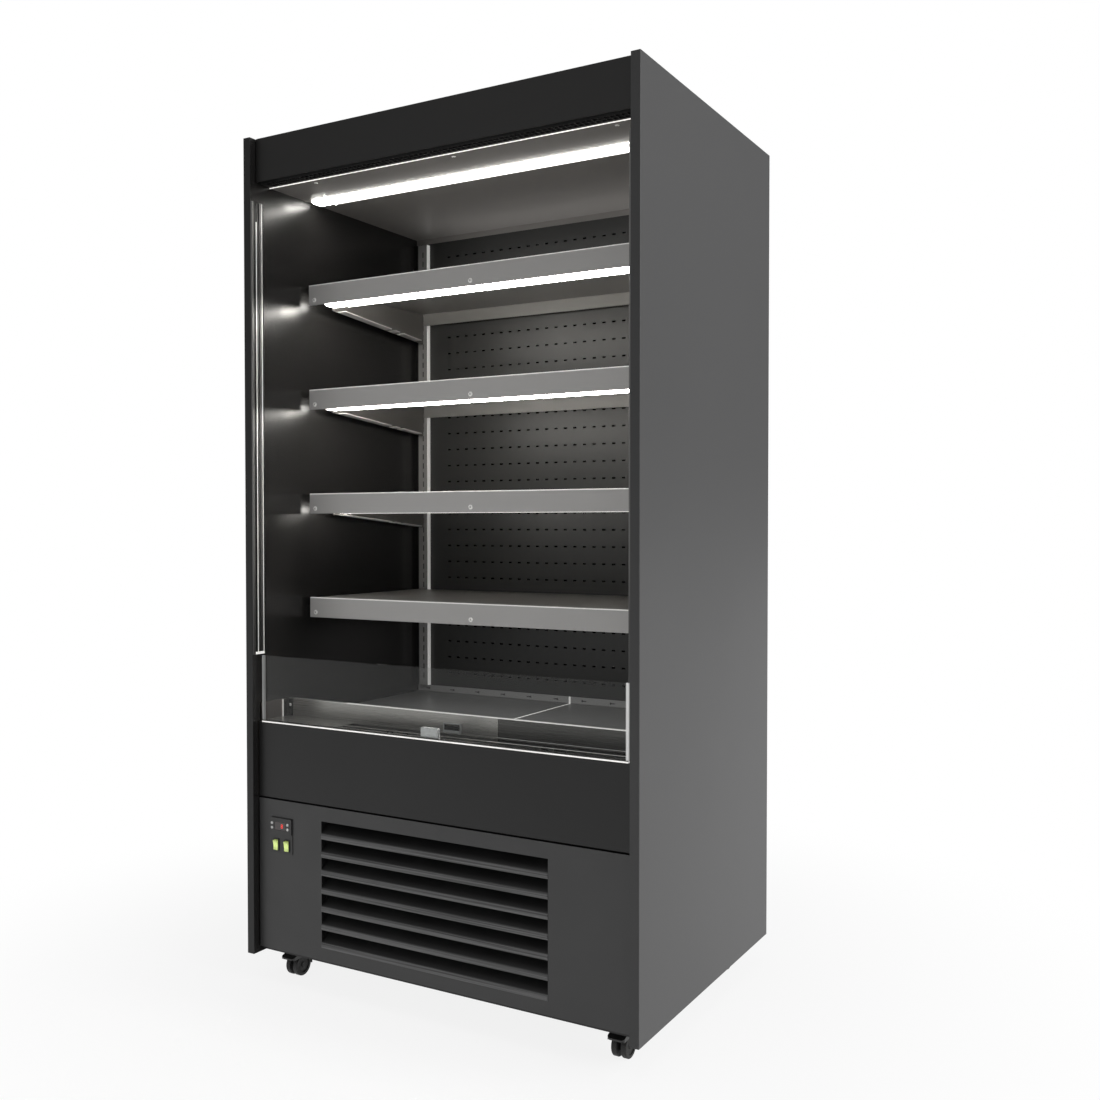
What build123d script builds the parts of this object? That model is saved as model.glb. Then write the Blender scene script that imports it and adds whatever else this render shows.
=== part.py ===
from build123d import *
from math import radians, tan
import os

# Open multideck display fridge on castors.
# Millimetres.  +X is the viewer's right, -Y is the open front, +Z is up.
# The origin lies on the floor, under the middle of the cabinet.

# ---------------------------------------------------------------- cabinet
WIDTH = 1000.0            # over the two side panels
DEPTH = 717.0             # side panels, front edge to rear edge
BODY_HEIGHT = 1870.0      # side panels, lower edge to top
FLOOR_GAP = 65.0          # floor to the side panels' lower edge
SIDE_THICKNESS = 20.0
SHEET = 1.0               # steel sheet of panels and liners
REAR_INSET = 2.0          # the rear panel, inside the side panels' rear edges
EDGE_ROUND = 1.5          # outer corners of the side panels
FOAM = 38.0               # insulation of the rear, the top and the tub
FRONT_SETBACK = 17.5      # side panels stand proud of the front faces
FRONT_SIDE_GAP = 3.0      # between a front panel and a side panel
FRONT_FOAM = 26.0         # insulation behind the upper front panel
DUCT_DEPTH = 37.0         # rear air duct

# ---------------------------------------------------------------- front, from the side panels' lower edge
PAN_LIFT = 5.0            # underside of the base pan
GRILLE_BOTTOM = 15.0
GRILLE_TOP = 360.5
FRONT_PANEL_BOTTOM = 365.0
FRONT_PANEL_TOP = 536.0
FASCIA_HEIGHT = 98.0      # canopy fascia
CANOPY_RETURN = 4.0       # returns at its ends, clear of the blind's bar
CEILING_DROP = 100.0      # cabinet top to the ceiling panel's underside
CEILING_SETBACK = 44.0    # from the front panels to the ceiling panel's lip
FLANGE = 13.0             # returns of the front panels

# ---------------------------------------------------------------- louvres
LOUVRE_WIDTH = 584.0
LOUVRE_HEIGHT = 272.0
LOUVRE_LIFT = 56.0        # its lower edge, from the side panels' lower edge
LOUVRE_COUNT = 7          # air slots, one more than the slats
SLAT_LIP = 13.0
SLAT_SWELL = 1.4          # how far the rolled lip stands out of the panel
SLAT_RISE = 20.0
SLAT_DEPTH = 24.0
SLAT_SHEET = 1.5

# ---------------------------------------------------------------- glass guard and return air
GLASS_HEIGHT = 153.0
GLASS_THICKNESS = 5.0
GLASS_SIDE_GAP = 12.0
RAIL_HEIGHT = 4.5
RAIL_WALL = 1.5
RISER_SETBACK = 115.0     # from the side panels' front edge to the riser's face
RISER_TOP = 579.0
DECK_TOP = 531.0
DECK_SHEET = 1.2
DECK_SEAM = 1.5
DECK_UPSTAND = 18.0
KEYHOLE_PITCH = 81.0
KEYHOLES_PER_DECK = 6
RETURN_SLOT_X = (-268.0, 460.0)
RETURN_SLOTS_Y = ((47.5, 64.0), (73.0, 101.0), (104.5, 111.5))   # from the side panels' front edge
GLASS_CLIP = (44.0, 9.0, 24.0)
RISER_CLIP = (45.0, 6.0, 21.0)
CLIP_X = -2.0
END_BRACKET = (14.0, 3.0, 40.0)
END_BRACKET_LEG = 21.0    # its leg along the cheek

# ---------------------------------------------------------------- perforated duct panel
PERF_COLUMNS = 28
PERF_ROWS = 27
PERF_PITCH = (27.7, 43.34)
PERF_SLOT = (10.0, 4.2)
PERF_LOWEST = 587.0       # lowest row, from the side panels' lower edge
PERF_BOTTOM = 495.0       # lower edge of the duct panel

# ---------------------------------------------------------------- shelves
SHELF_TOPS = (1565.0, 1315.0, 1065.0, 815.0)
SHELF_WIDTH = 932.0
SHELF_SETBACK = 181.0     # from the side panels' front edge to the shelf fascia
SHELF_SHEET = 1.2
SHELF_FASCIA_HEIGHT = 48.0
SHELF_FASCIA_SHEET = 1.5
SHELF_FASCIA_LIP = 9.0
SHELF_REAR_GAP = 4.5      # to the uprights
SHELF_SIDE_FLANGE = 20.0
SHELF_REAR_FLANGE = 34.0
UPRIGHT = (30.0, 12.0, 1.5)
UPRIGHT_SIDE_GAP = 12.5
UPRIGHT_BOTTOM = 550.0
UPRIGHT_TOP = 1752.0
UPRIGHT_SLOT = (4.0, 15.0)
UPRIGHT_PITCH = 25.0
BRACKET_SHEET = 2.0
BRACKET_FRONT = 69.0      # behind the shelf fascia
BRACKET_NOSE = 50.0       # its height at the front, below the shelf
BRACKET_HEEL = 83.0       # its height at the upright
BRACKET_LIP = 24.0
BRACKET_LIPS = ((20.0, 205.0), (222.0, 240.0), (258.0, 335.0))   # stretches of the folded lip
HOOK_DROPS = (14.0, 64.0) # below the shelf's top
SCREW_HEAD = 4.5
SHELF_SCREW_HEAD = 5.5
SHELF_SCREW_X = 449.0
CEILING_SCREWS = (-357.0, 23.0, 410.0)
REAR_SCREWS = 7

# ---------------------------------------------------------------- lights
LAMP_LENGTH = 786.0
LAMP_WIDTH = 42.0
SHELF_LAMP = (10.0, 6.0)  # thickness of the lens and of the base
CANOPY_LAMP = (6.0, 2.0)
LAMP_SOCKET = 44.0
SOCKET_GAP = 8.0          # between a socket and the lens
CANOPY_LAMP_LENGTH = 836.0
CANOPY_LAMP_SETBACK = 204.0
SHELF_LAMP_SETBACK = 41.0  # middle of the lamp, behind the shelf fascia
LIT_SHELVES = 3

# ---------------------------------------------------------------- night blind
GUIDE = (38.5, 4.0)       # depth and projection of the side guides
GUIDE_SETBACK = 1.0
GUIDE_BOTTOM = 692.0
GUIDE_TOP = 1726.0
GUIDE_SLOT = 3.6
GUIDE_SLOT_DEPTH = 3.2
GUIDE_FLARE = (8.0, 56.0)
GUIDE_CAP = 6.0
BLIND_SETBACK = 23.5      # plane of the fabric
BLIND_SHEET = 0.5
BLIND_BAR = (6.0, 18.0)
BLIND_BAR_END_GAP = 1.5
BAR_TAB = (2.4, 3.5, 10.0)
BAR_REST = 1775.0         # underside of the bar when it is up
ROLLER_BEARING = 12.0     # thickness of the plates that carry it
ROLLER_RADIUS = 16.0
ROLLER_WALL = 1.2
ROLL_RADIUS = 23.4        # with the fabric wound on it
ROLLER_RISE = 1837.0      # its axis
ROLLER_STUB = 4.0
RUNNING = 0.08            # radial running clearance
HONEYCOMB = (27.0, 18.0)
HONEYCOMB_CELL = 11.0
HONEYCOMB_WALL = 1.6
HONEYCOMB_ROWS = 2

# ---------------------------------------------------------------- controls
PLATE = (65.0, 82.0, 1.5)
PLATE_MIDDLE = (-408.75, 280.5)   # X, and height above the side panels' lower edge
CONTROLLER = (62.0, 37.0, 2.5)
CONTROLLER_BODY = (56.0, 31.0, 42.0)
CONTROLLER_LIFT = 21.5
KEY_RADIUS = 3.2
KEY_LENGTH = 2.7
KEY_PROUD = 1.0
KEY_TRAVEL = 0.5
KEY_PLACES = ((-26.5, 5.6), (-26.5, -4.9), (20.3, 5.6), (20.3, -4.9))
DISPLAY = (32.0, 19.0, 0.8)
DISPLAY_X = -3.0
ROCKER_SPACING = 32.0
ROCKER_DROP = 22.0
ROCKER = (12.0, 22.0, 9.0)
ROCKER_BEZEL = (17.0, 28.0, 2.0)
ROCKER_GAP = 0.4
ROCKER_TILT = 7.0
ROCKER_PIN = 1.0

# ---------------------------------------------------------------- machine and cooling
CONDENSER = (400.0, 50.0, 290.0)
CONDENSER_X = -75.0
CONDENSER_Y = -265.0
SHROUD_DEPTH = 60.0
FAN_SHAFT = 3.0
FAN_SHAFT_LENGTH = 26.0
FAN_SETBACK = 15.0        # the fan's middle, in front of its motor
FAN_RADIUS = 105.0
FAN_OPENING = 112.0
FAN_BLADES = 5
COMPRESSOR_RADIUS = 78.0
COMPRESSOR_HEIGHT = 185.0
COMPRESSOR_PLACE = (285.0, 60.0)
TRAY = (360.0, 190.0, 45.0)
TRAY_PLACE = (-230.0, 215.0)
EVAPORATOR = (800.0, 190.0, 96.0)
EVAPORATOR_Y = 55.0
COOLER_FAN_RADIUS = 50.0
COOLER_FAN_OPENING = 54.0
COOLER_FAN_X = 210.0
COOLER_LEG = 16.0         # the fan plate to its motors' arms
FAN_PLATE_Y = -170.0
FIN_PITCH = 16.0
FIN = 1.0
COIL_TUBE = 4.8
PIPE = 4.0
TUBE_END = 8.0
TUBE_ROWS = (0.27, 0.73)   # places of the two tube rows across a coil
PASSAGE = (440.0, 120.0, 44.0, 30.0)   # X, Y, width and depth of the pipes' way into the tub
DRAIN = 12.0
DRAIN_PLACE = (-200.0, 215.0)
DRAIN_GAP = 0.5

# ---------------------------------------------------------------- castors
CASTOR_X = 425.0
CASTOR_FRONT_Y = -250.0
CASTOR_REAR_Y = 280.0
CASTOR_TRAIL = 20.0
WHEEL_RADIUS = 25.0
WHEEL_WIDTH = 12.0
WHEEL_GAP = 9.0           # between the two wheels of a castor
WEB = 8.0
AXLE = 3.0
HOOD_GAP = 2.5
CASTOR_PLATE = (58.0, 58.0, 2.5)
RACE_RADIUS = 17.0
SWIVEL_RADIUS = 19.0
KINGPIN = 4.0
SWIVEL_GAP = 0.3
SWIVEL_HEAD = 3.0
RACE_HEIGHT = 5.5
HOOD_WALL = 1.8
BRAKE_PIN = 1.5
BRAKE_LIFT = 4.6          # the pedal's pin, above the wheels
BRAKE_NOSE = 6.5          # the web's front, ahead of the axle
BRAKE_REACH = 38.0        # the pedal's tip, ahead of its pin
BRAKE_DIP = 8.0           # the pedal's tip, below its pin
BRAKE_SHEET = 3.5
BRAKE_CORNER = 8.0
BRAKE_SKIRT = 1.8         # sides that hang outside the wheels
BRAKE_SKIRT_DROP = 9.0
BRAKE_SIDE_GAP = 0.7      # between a skirt and a wheel

# ---------------------------------------------------------------- worked out from the above
X_IN = WIDTH / 2 - SIDE_THICKNESS
Y_FRONT = -DEPTH / 2
Y_REAR = DEPTH / 2
Y_BACK = Y_REAR - REAR_INSET
Y_FACE = Y_FRONT + FRONT_SETBACK
Z_LOW = FLOOR_GAP
Z_TOP = FLOOR_GAP + BODY_HEIGHT
X_FACE = X_IN - FRONT_SIDE_GAP
Y_REAR_FOAM = Y_BACK - SHEET - FOAM
Y_LINER = Y_REAR_FOAM - SHEET
Y_DUCT = Y_LINER - DUCT_DEPTH - SHEET
Z_CEILING = Z_TOP - CEILING_DROP
Z_TOP_LINER = Z_TOP - 2 * SHEET - FOAM
Y_CANOPY = Y_FACE + 62.5
Y_LIP = Y_FACE + CEILING_SETBACK
Z_PANEL = Z_LOW + FRONT_PANEL_TOP
Z_TUB = Z_LOW + FRONT_PANEL_BOTTOM + SHEET
Z_TUB_FLOOR = Z_TUB + FOAM
Y_TUB = Y_FACE + SHEET + FRONT_FOAM
Z_DECK = Z_LOW + DECK_TOP
Y_RISER = Y_FRONT + RISER_SETBACK
Y_RAIL_BACK = Y_FACE + 2 * RAIL_WALL + GLASS_THICKNESS
Y_SHELF = Y_FRONT + SHELF_SETBACK
Z_PAN = Z_LOW + PAN_LIFT
PAN_SHEET = 2.0
PAN_FLANGE = 40.0
Y_PAN = Y_FACE + FLANGE
UPRIGHT_X = X_IN - UPRIGHT_SIDE_GAP - UPRIGHT[0] / 2
Y_UPRIGHT = Y_DUCT - UPRIGHT[1]
Y_BLIND = Y_FRONT + BLIND_SETBACK
SWIVEL_TOP = Z_PAN - CASTOR_PLATE[2] - RACE_HEIGHT
FLAT = Align.CENTER
LOW = Align.MIN


def block(x, y, z):
    """A box between two values on each axis."""
    size = (x[1] - x[0], y[1] - y[0], z[1] - z[0])
    return Pos(x[0], y[0], z[0]) * Box(*size, align=(LOW, LOW, LOW))


def centred(x, width):
    return (x - width / 2, x + width / 2)


def rod_x(radius, x, y, z):
    """A round bar along X, from x[0] to x[1]."""
    bar = Cylinder(radius, x[1] - x[0], align=(FLAT, FLAT, LOW))
    return Pos(x[0], y, z) * Rot(0, 90, 0) * bar


def rod_y(radius, x, y, z):
    """A round bar along Y, from y[0] to y[1]."""
    bar = Cylinder(radius, y[1] - y[0], align=(FLAT, FLAT, LOW))
    return Pos(x, y[0], z) * Rot(-90, 0, 0) * bar


def rod_z(radius, x, y, z):
    """A round bar along Z, from z[0] to z[1]."""
    return Pos(x, y, z[0]) * Cylinder(radius, z[1] - z[0], align=(FLAT, FLAT, LOW))


def profile_x(points, x):
    """A closed outline of (y, z) points, drawn out along X from x[0] to x[1]."""
    face = Plane.YZ.offset(x[0]) * make_face(Polyline(*points, close=True))
    return extrude(face, amount=x[1] - x[0])


def tray(x, y, z, sheet):
    """A box of sheet that is open at the top."""
    inner = block((x[0] + sheet, x[1] - sheet), (y[0] + sheet, y[1] - sheet), (z[0] + sheet, z[1]))
    return block(x, y, z) - inner


def both_sides(shape):
    """The shape and its mirror image in the cabinet's middle plane."""
    return [shape, mirror(shape, about=Plane.YZ)]


# ---------------------------------------------------------------- carcass
def side_panel():
    """Left side panel: a tray of sheet that is open towards the inside."""
    x = (-WIDTH / 2, -X_IN)
    shell = block(x, (Y_FRONT, Y_REAR), (Z_LOW, Z_TOP))
    outer = [e for e in shell.edges().filter_by(Axis.Z) if e.center().X < x[0] + SHEET]
    shell = fillet(outer, EDGE_ROUND)
    hollow = block((x[0] + SHEET, x[1]), (Y_FRONT + SHEET, Y_REAR - SHEET), (Z_LOW + SHEET, Z_TOP - SHEET))
    return shell - hollow


def insulation():
    inside_y = (Y_FRONT + SHEET, Y_REAR - SHEET)
    core = block((-WIDTH / 2 + SHEET, -X_IN - SHEET), inside_y, (Z_LOW + SHEET, Z_TOP - SHEET))
    rear = block((-X_IN, X_IN), (Y_REAR_FOAM, Y_BACK - SHEET), (Z_TUB, Z_TOP - SHEET))
    top = block((-X_IN, X_IN), (Y_CANOPY + SHEET, Y_REAR_FOAM), (Z_TOP_LINER + SHEET, Z_TOP - SHEET))
    floor = block((-X_FACE, X_FACE), (Y_FACE + SHEET, Y_REAR_FOAM), (Z_TUB, Z_TUB_FLOOR))
    front = block((-X_FACE, X_FACE), (Y_FACE + SHEET, Y_TUB), (Z_TUB_FLOOR, Z_PANEL - SHEET))
    tub = floor + front - pipe_passage() - drain_bore(DRAIN + DRAIN_GAP)
    return both_sides(core) + [rear, top, tub]


def inner_liners():
    side = block((-X_IN - SHEET, -X_IN), (Y_FRONT + SHEET, Y_REAR - SHEET), (Z_LOW + SHEET, Z_TOP - SHEET))
    rear = block((-X_IN, X_IN), (Y_LINER, Y_REAR_FOAM), (Z_TUB_FLOOR, Z_TOP_LINER + SHEET))
    top = block((-X_IN, X_IN), (Y_CANOPY, Y_LINER), (Z_TOP_LINER, Z_TOP_LINER + SHEET))
    lip = block((-X_IN, X_IN), (Y_CANOPY, Y_CANOPY + SHEET), (Z_TOP_LINER, Z_TOP - SHEET))
    lid = block((-X_IN, X_IN), (Y_FACE + FLANGE, Y_BACK - SHEET), (Z_TUB - SHEET, Z_TUB))
    lid = lid - pipe_passage() - drain_bore(DRAIN + DRAIN_GAP)
    return both_sides(side) + [rear + top + lip, lid]


def rear_panel():
    sheet = block((-X_IN, X_IN), (Y_BACK - SHEET, Y_BACK), (Z_PAN, Z_TOP - SHEET))
    vent_rows, vent_pitch, vent = 9, 24.0, (90.0, 7.0)
    middle = Z_PAN + 190.0
    vents = Sketch() + GridLocations(2 * vent[0], vent_pitch, 4, vent_rows) * SlotOverall(*vent)
    return sheet - extrude(Plane.XZ.offset(-Y_BACK) * Pos(0, middle) * vents, amount=-2 * SHEET, both=True)


def top_panel():
    return block((-X_IN, X_IN), (Y_CANOPY, Y_BACK), (Z_TOP - SHEET, Z_TOP))


def tub_liner():
    shell = tray((-X_IN, X_IN), (Y_TUB, Y_LINER), (Z_TUB_FLOOR, Z_PANEL - SHEET), SHEET)
    return shell - pipe_passage() - drain_bore(DRAIN - SHEET) + drain_spout()


def base_pan():
    return tray((-X_IN, X_IN), (Y_PAN, Y_BACK - SHEET), (Z_PAN, Z_PAN + PAN_FLANGE), PAN_SHEET)


# ---------------------------------------------------------------- front
def front_panel():
    z = (Z_LOW + FRONT_PANEL_BOTTOM, Z_PANEL)
    x = (-X_FACE, X_FACE)
    plate = block(x, (Y_FACE, Y_FACE + SHEET), z)
    top = block(x, (Y_FACE, Y_TUB + SHEET), (z[1] - SHEET, z[1]))
    bottom = block(x, (Y_FACE, Y_FACE + FLANGE), (z[0], z[0] + SHEET))
    return plate + top + bottom


def louvre_slat(z):
    """A lip at the face and a blade that climbs behind it, as one (y, z) outline."""
    back = Y_FACE + SLAT_DEPTH
    slope = SLAT_SHEET * SLAT_DEPTH / SLAT_RISE
    front = Y_FACE - SLAT_SWELL
    return [
        (Y_FACE, z), (front, z + SLAT_LIP * 0.3), (front, z + SLAT_LIP * 0.6), (Y_FACE, z + SLAT_LIP),
        (back, z + SLAT_LIP + SLAT_RISE),
        (back, z + SLAT_LIP + SLAT_RISE - slope), (Y_FACE + SLAT_SHEET, z + SLAT_LIP - slope / 2),
        (Y_FACE + SLAT_SHEET, z),
    ]


def grille_panel():
    x, z = (-X_FACE, X_FACE), (Z_LOW + GRILLE_BOTTOM, Z_LOW + GRILLE_TOP)
    body = block(x, (Y_FACE, Y_FACE + FLANGE), z)
    hollow = block((x[0] + SHEET, x[1] - SHEET), (Y_FACE + SHEET, Y_FACE + FLANGE),
                   (z[0] + SHEET, z[1] - SHEET))
    opening_x = centred(0, LOUVRE_WIDTH)
    low = Z_LOW + LOUVRE_LIFT
    opening = block(opening_x, (Y_FACE - SHEET, Y_FACE + FLANGE), (low, low + LOUVRE_HEIGHT))
    plate_x, plate_z = PLATE_MIDDLE[0], Z_LOW + PLATE_MIDDLE[1]
    window = block(centred(plate_x, PLATE[0] - 4), (Y_FACE - SHEET, Y_FACE + SHEET * 2),
                   centred(plate_z, PLATE[1] - 4))
    panel = body - hollow - opening - window
    pitch = (LOUVRE_HEIGHT + SLAT_LIP) / LOUVRE_COUNT
    for i in range(LOUVRE_COUNT):
        panel += profile_x(louvre_slat(low - SLAT_LIP + i * pitch), opening_x)
    ends = block((opening_x[0] - SHEET, opening_x[0]), (Y_FACE + SHEET, Y_FACE + SLAT_DEPTH),
                 (low, low + LOUVRE_HEIGHT))
    for end in both_sides(ends):
        panel += end
    return panel


def glass_guard():
    y = Y_FACE + RAIL_WALL
    x = X_IN - GLASS_SIDE_GAP
    z = (Z_PANEL + RAIL_WALL, Z_PANEL + GLASS_HEIGHT)
    glass = block((-x, x), (y, y + GLASS_THICKNESS), z)
    return chamfer(glass.edges().filter_by(Axis.Z), 0.6)


def glass_rail():
    x = (-X_IN + GLASS_SIDE_GAP, X_IN - GLASS_SIDE_GAP)
    rail = block(x, (Y_FACE, Y_RAIL_BACK), (Z_PANEL, Z_PANEL + RAIL_HEIGHT))
    groove = block(x, (Y_FACE + RAIL_WALL, Y_FACE + RAIL_WALL + GLASS_THICKNESS),
                   (Z_PANEL + RAIL_WALL, Z_PANEL + RAIL_HEIGHT))
    return rail - groove


def return_grille():
    """Slotted air return and the steel riser behind it, with a small bracket at each end."""
    x = (-X_IN + 2 * SHEET, X_IN - 2 * SHEET)
    top = Z_LOW + RISER_TOP
    sheet = DECK_SHEET
    seat = Z_DECK - sheet
    plate = block(x, (Y_RAIL_BACK, Y_RISER), (Z_PANEL, Z_PANEL + sheet))
    riser = block(x, (Y_RISER, Y_RISER + sheet), (seat - sheet, top))
    lip = block(x, (Y_RISER, Y_RISER + 8), (top - sheet, top))
    hem = block(x, (Y_RISER + 8 - sheet, Y_RISER + 8), (top - 8, top))
    ledge = block(x, (Y_RISER, Y_RISER + 22), (seat - sheet, seat))
    shape = plate + riser + lip + hem + ledge
    for near, far in RETURN_SLOTS_Y:
        shape -= block(RETURN_SLOT_X, (Y_FRONT + near, Y_FRONT + far), (Z_PANEL, Z_PANEL + sheet))
    low = Z_PANEL + sheet
    cheek = block((x[0], x[0] + sheet), (Y_RAIL_BACK, Y_RISER), (Z_PANEL, top))
    wide, thick, tall = END_BRACKET
    corner = x[0] + sheet
    bracket = block((corner, corner + wide), (Y_RISER - thick, Y_RISER), (low, low + tall))
    bracket += block((corner, corner + thick), (Y_RISER - END_BRACKET_LEG, Y_RISER), (low, low + tall))
    for side in both_sides(cheek):
        shape += side
    return [shape] + both_sides(bracket)


def centre_clips():
    """The clip behind the glass and the one on the riser."""
    low = Z_PANEL + DECK_SHEET
    glass_clip = block(centred(CLIP_X, GLASS_CLIP[0]), (Y_RAIL_BACK, Y_RAIL_BACK + GLASS_CLIP[1]),
                       (low, low + GLASS_CLIP[2]))
    glass_clip = fillet(glass_clip.edges().filter_by(Axis.Y), 1.5)
    finger = block(centred(CLIP_X, GLASS_CLIP[0] - 12), (Y_RAIL_BACK + 4, Y_RAIL_BACK + GLASS_CLIP[1]),
                   (low + 12, low + GLASS_CLIP[2] - 4))
    riser_clip = block(centred(CLIP_X, RISER_CLIP[0]), (Y_RISER - RISER_CLIP[1], Y_RISER),
                       (low, low + RISER_CLIP[2]))
    recess = block(centred(CLIP_X, RISER_CLIP[0] - 3), (Y_RISER - RISER_CLIP[1], Y_RISER - RISER_CLIP[1] + 2),
                   (low + 6, low + RISER_CLIP[2] - 1.5))
    return [glass_clip - finger, riser_clip - recess]


# ---------------------------------------------------------------- inside
def deck_panel():
    """Left deck panel: a flat floor with an upstand and its keyholes at the rear."""
    x = (-X_IN + SHEET, -DECK_SEAM / 2)
    y = (Y_RISER + DECK_SHEET, Y_DUCT)
    floor = block(x, y, (Z_DECK - DECK_SHEET, Z_DECK))
    upstand = block(x, (y[1] - DECK_SHEET, y[1]), (Z_DECK, Z_DECK + DECK_UPSTAND))
    panel = floor + upstand
    z = Z_DECK + DECK_UPSTAND / 2
    for i in range(KEYHOLES_PER_DECK):
        hole_x = -KEYHOLE_PITCH * (i + 0.5)
        round_end = rod_y(3.0, hole_x + 4, (y[1] - 2 * DECK_SHEET, y[1]), z)
        slot = block((hole_x - 8, hole_x + 4), (y[1] - 2 * DECK_SHEET, y[1]), (z - 1.4, z + 1.4))
        panel -= round_end + slot
    return panel


def duct_panel():
    x = X_IN - SHEET
    z = (Z_LOW + PERF_BOTTOM, Z_CEILING)
    middle = Z_LOW + PERF_LOWEST + (PERF_ROWS - 1) * PERF_PITCH[1] / 2
    slots = Sketch() + GridLocations(*PERF_PITCH, PERF_COLUMNS, PERF_ROWS) * Rectangle(*PERF_SLOT)
    plate = Pos(0, (z[0] + z[1]) / 2) * Rectangle(2 * x, z[1] - z[0]) - Pos(0, middle) * slots
    return extrude(Plane.XZ.offset(-Y_DUCT) * plate, amount=-SHEET)


def ceiling_panel():
    x = (-X_IN, X_IN)
    plate = block(x, (Y_LIP, Y_DUCT), (Z_CEILING, Z_CEILING + SHEET))
    front = block(x, (Y_LIP, Y_LIP + SHEET), (Z_CEILING, Z_CEILING + HONEYCOMB[1] + 2))
    rear = block(x, (Y_DUCT - SHEET, Y_DUCT), (Z_CEILING - 14, Z_CEILING))
    return plate + front + rear


def shelf_uprights():
    """Left upright: a channel against the duct panel, with a column of slots."""
    z = (Z_LOW + UPRIGHT_BOTTOM, Z_LOW + UPRIGHT_TOP)
    wall = UPRIGHT[2]
    x = centred(-UPRIGHT_X, UPRIGHT[0])
    channel = block(x, (Y_UPRIGHT, Y_DUCT), z)
    channel -= block((x[0] + wall, x[1] - wall), (Y_UPRIGHT + wall, Y_DUCT), z)
    hook_z = Z_LOW + SHELF_TOPS[-1] - HOOK_DROPS[0]
    first = hook_z - UPRIGHT_PITCH * int((hook_z - z[0] - UPRIGHT_SLOT[1]) / UPRIGHT_PITCH)
    count = int((z[1] - UPRIGHT_SLOT[1] - first) / UPRIGHT_PITCH) + 1
    column = Sketch() + GridLocations(UPRIGHT_PITCH, UPRIGHT_PITCH, 1, count) * Rectangle(*UPRIGHT_SLOT)
    middle = first + (count - 1) * UPRIGHT_PITCH / 2
    cut = Plane.XZ.offset(-Y_UPRIGHT) * Pos(-UPRIGHT_X, middle) * column
    return both_sides(channel - extrude(cut, amount=-wall))


def shelf_tray(top):
    """A folded tray without its front fascia; top is the fascia's upper edge."""
    sheet = SHELF_SHEET
    high = top - SHELF_FASCIA_SHEET
    half = SHELF_WIDTH / 2 - 1
    y = (Y_SHELF + SHELF_FASCIA_SHEET, Y_UPRIGHT - SHELF_REAR_GAP)
    shape = block((-half, half), y, (high - sheet, high))
    shape += block((-half, half), (y[0], y[0] + sheet), (top - SHELF_FASCIA_HEIGHT + 3, high))
    rear_half = UPRIGHT_X - 6
    shape += block((-rear_half, rear_half), (y[1] - sheet, y[1]), (top - SHELF_REAR_FLANGE, high))
    for side in both_sides(block((-half, -half + sheet), y, (high - SHELF_SIDE_FLANGE, high))):
        shape += side
    return shape


def shelf_fascia(top):
    x = centred(0, SHELF_WIDTH)
    low = top - SHELF_FASCIA_HEIGHT
    sheet = SHELF_FASCIA_SHEET
    face = block(x, (Y_SHELF, Y_SHELF + sheet), (low, top))
    lip = block(x, (Y_SHELF, Y_SHELF + SHELF_FASCIA_LIP), (top - sheet, top))
    shape = face + lip
    front = [e for e in shape.edges().filter_by(Axis.X)
             if abs(e.center().Y - Y_SHELF) < 0.01 and abs(e.center().Z - top) < 0.01]
    return fillet(front, 1.0)


def shelf_bracket(top):
    """Left cantilever bracket: a tapered blade, a folded lip and two hooks."""
    high = top - SHELF_FASCIA_SHEET - SHELF_SHEET
    nose_y = Y_SHELF + BRACKET_FRONT
    nose_z, heel_z = top - BRACKET_NOSE, top - BRACKET_HEEL
    x = centred(-UPRIGHT_X, BRACKET_SHEET)
    blade = profile_x([(nose_y, high), (nose_y, nose_z), (Y_UPRIGHT, heel_z), (Y_UPRIGHT, high)], x)
    slope = (heel_z - nose_z) / (Y_UPRIGHT - nose_y)
    lip_x = (x[1], x[1] + BRACKET_LIP)
    for start, end in BRACKET_LIPS:
        z0, z1 = nose_z + slope * start, nose_z + slope * end
        y0, y1 = nose_y + start, nose_y + end
        blade += profile_x([(y0, z0), (y1, z1), (y1, z1 + BRACKET_SHEET), (y0, z0 + BRACKET_SHEET)],
                           (x[0], lip_x[1]))
    wall = UPRIGHT[2]
    for drop in HOOK_DROPS:
        z = top - drop
        reach = Y_UPRIGHT + wall + 2.3
        rest = z - UPRIGHT_SLOT[1] / 2
        blade += block(x, (Y_UPRIGHT, reach), (rest, rest + 9))
        blade += block(x, (Y_UPRIGHT + wall + 0.3, reach), (rest - 4.5, rest + 9))
    return blade


# ---------------------------------------------------------------- lights
def lamp(length, y, top, thickness):
    """A lamp bar under a surface at height top: base channel, opal lens and two sockets."""
    lens_thick, base_thick = thickness
    low = top - base_thick - lens_thick
    lens = block(centred(0, length), centred(y, LAMP_WIDTH), (low, low + lens_thick))
    lens = fillet([e for e in lens.edges().filter_by(Axis.X) if e.center().Z < low + 1], 4.0)
    base = block(centred(0, length + 2 * LAMP_SOCKET), centred(y, LAMP_WIDTH - 6), (top - base_thick, top))
    socket = block((-length / 2 - LAMP_SOCKET, -length / 2 - SOCKET_GAP), centred(y, LAMP_WIDTH - 6),
                   (low, top - base_thick))
    socket = fillet(socket.edges().filter_by(Axis.Z), 3.0)
    return [lens, base] + both_sides(socket)


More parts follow.
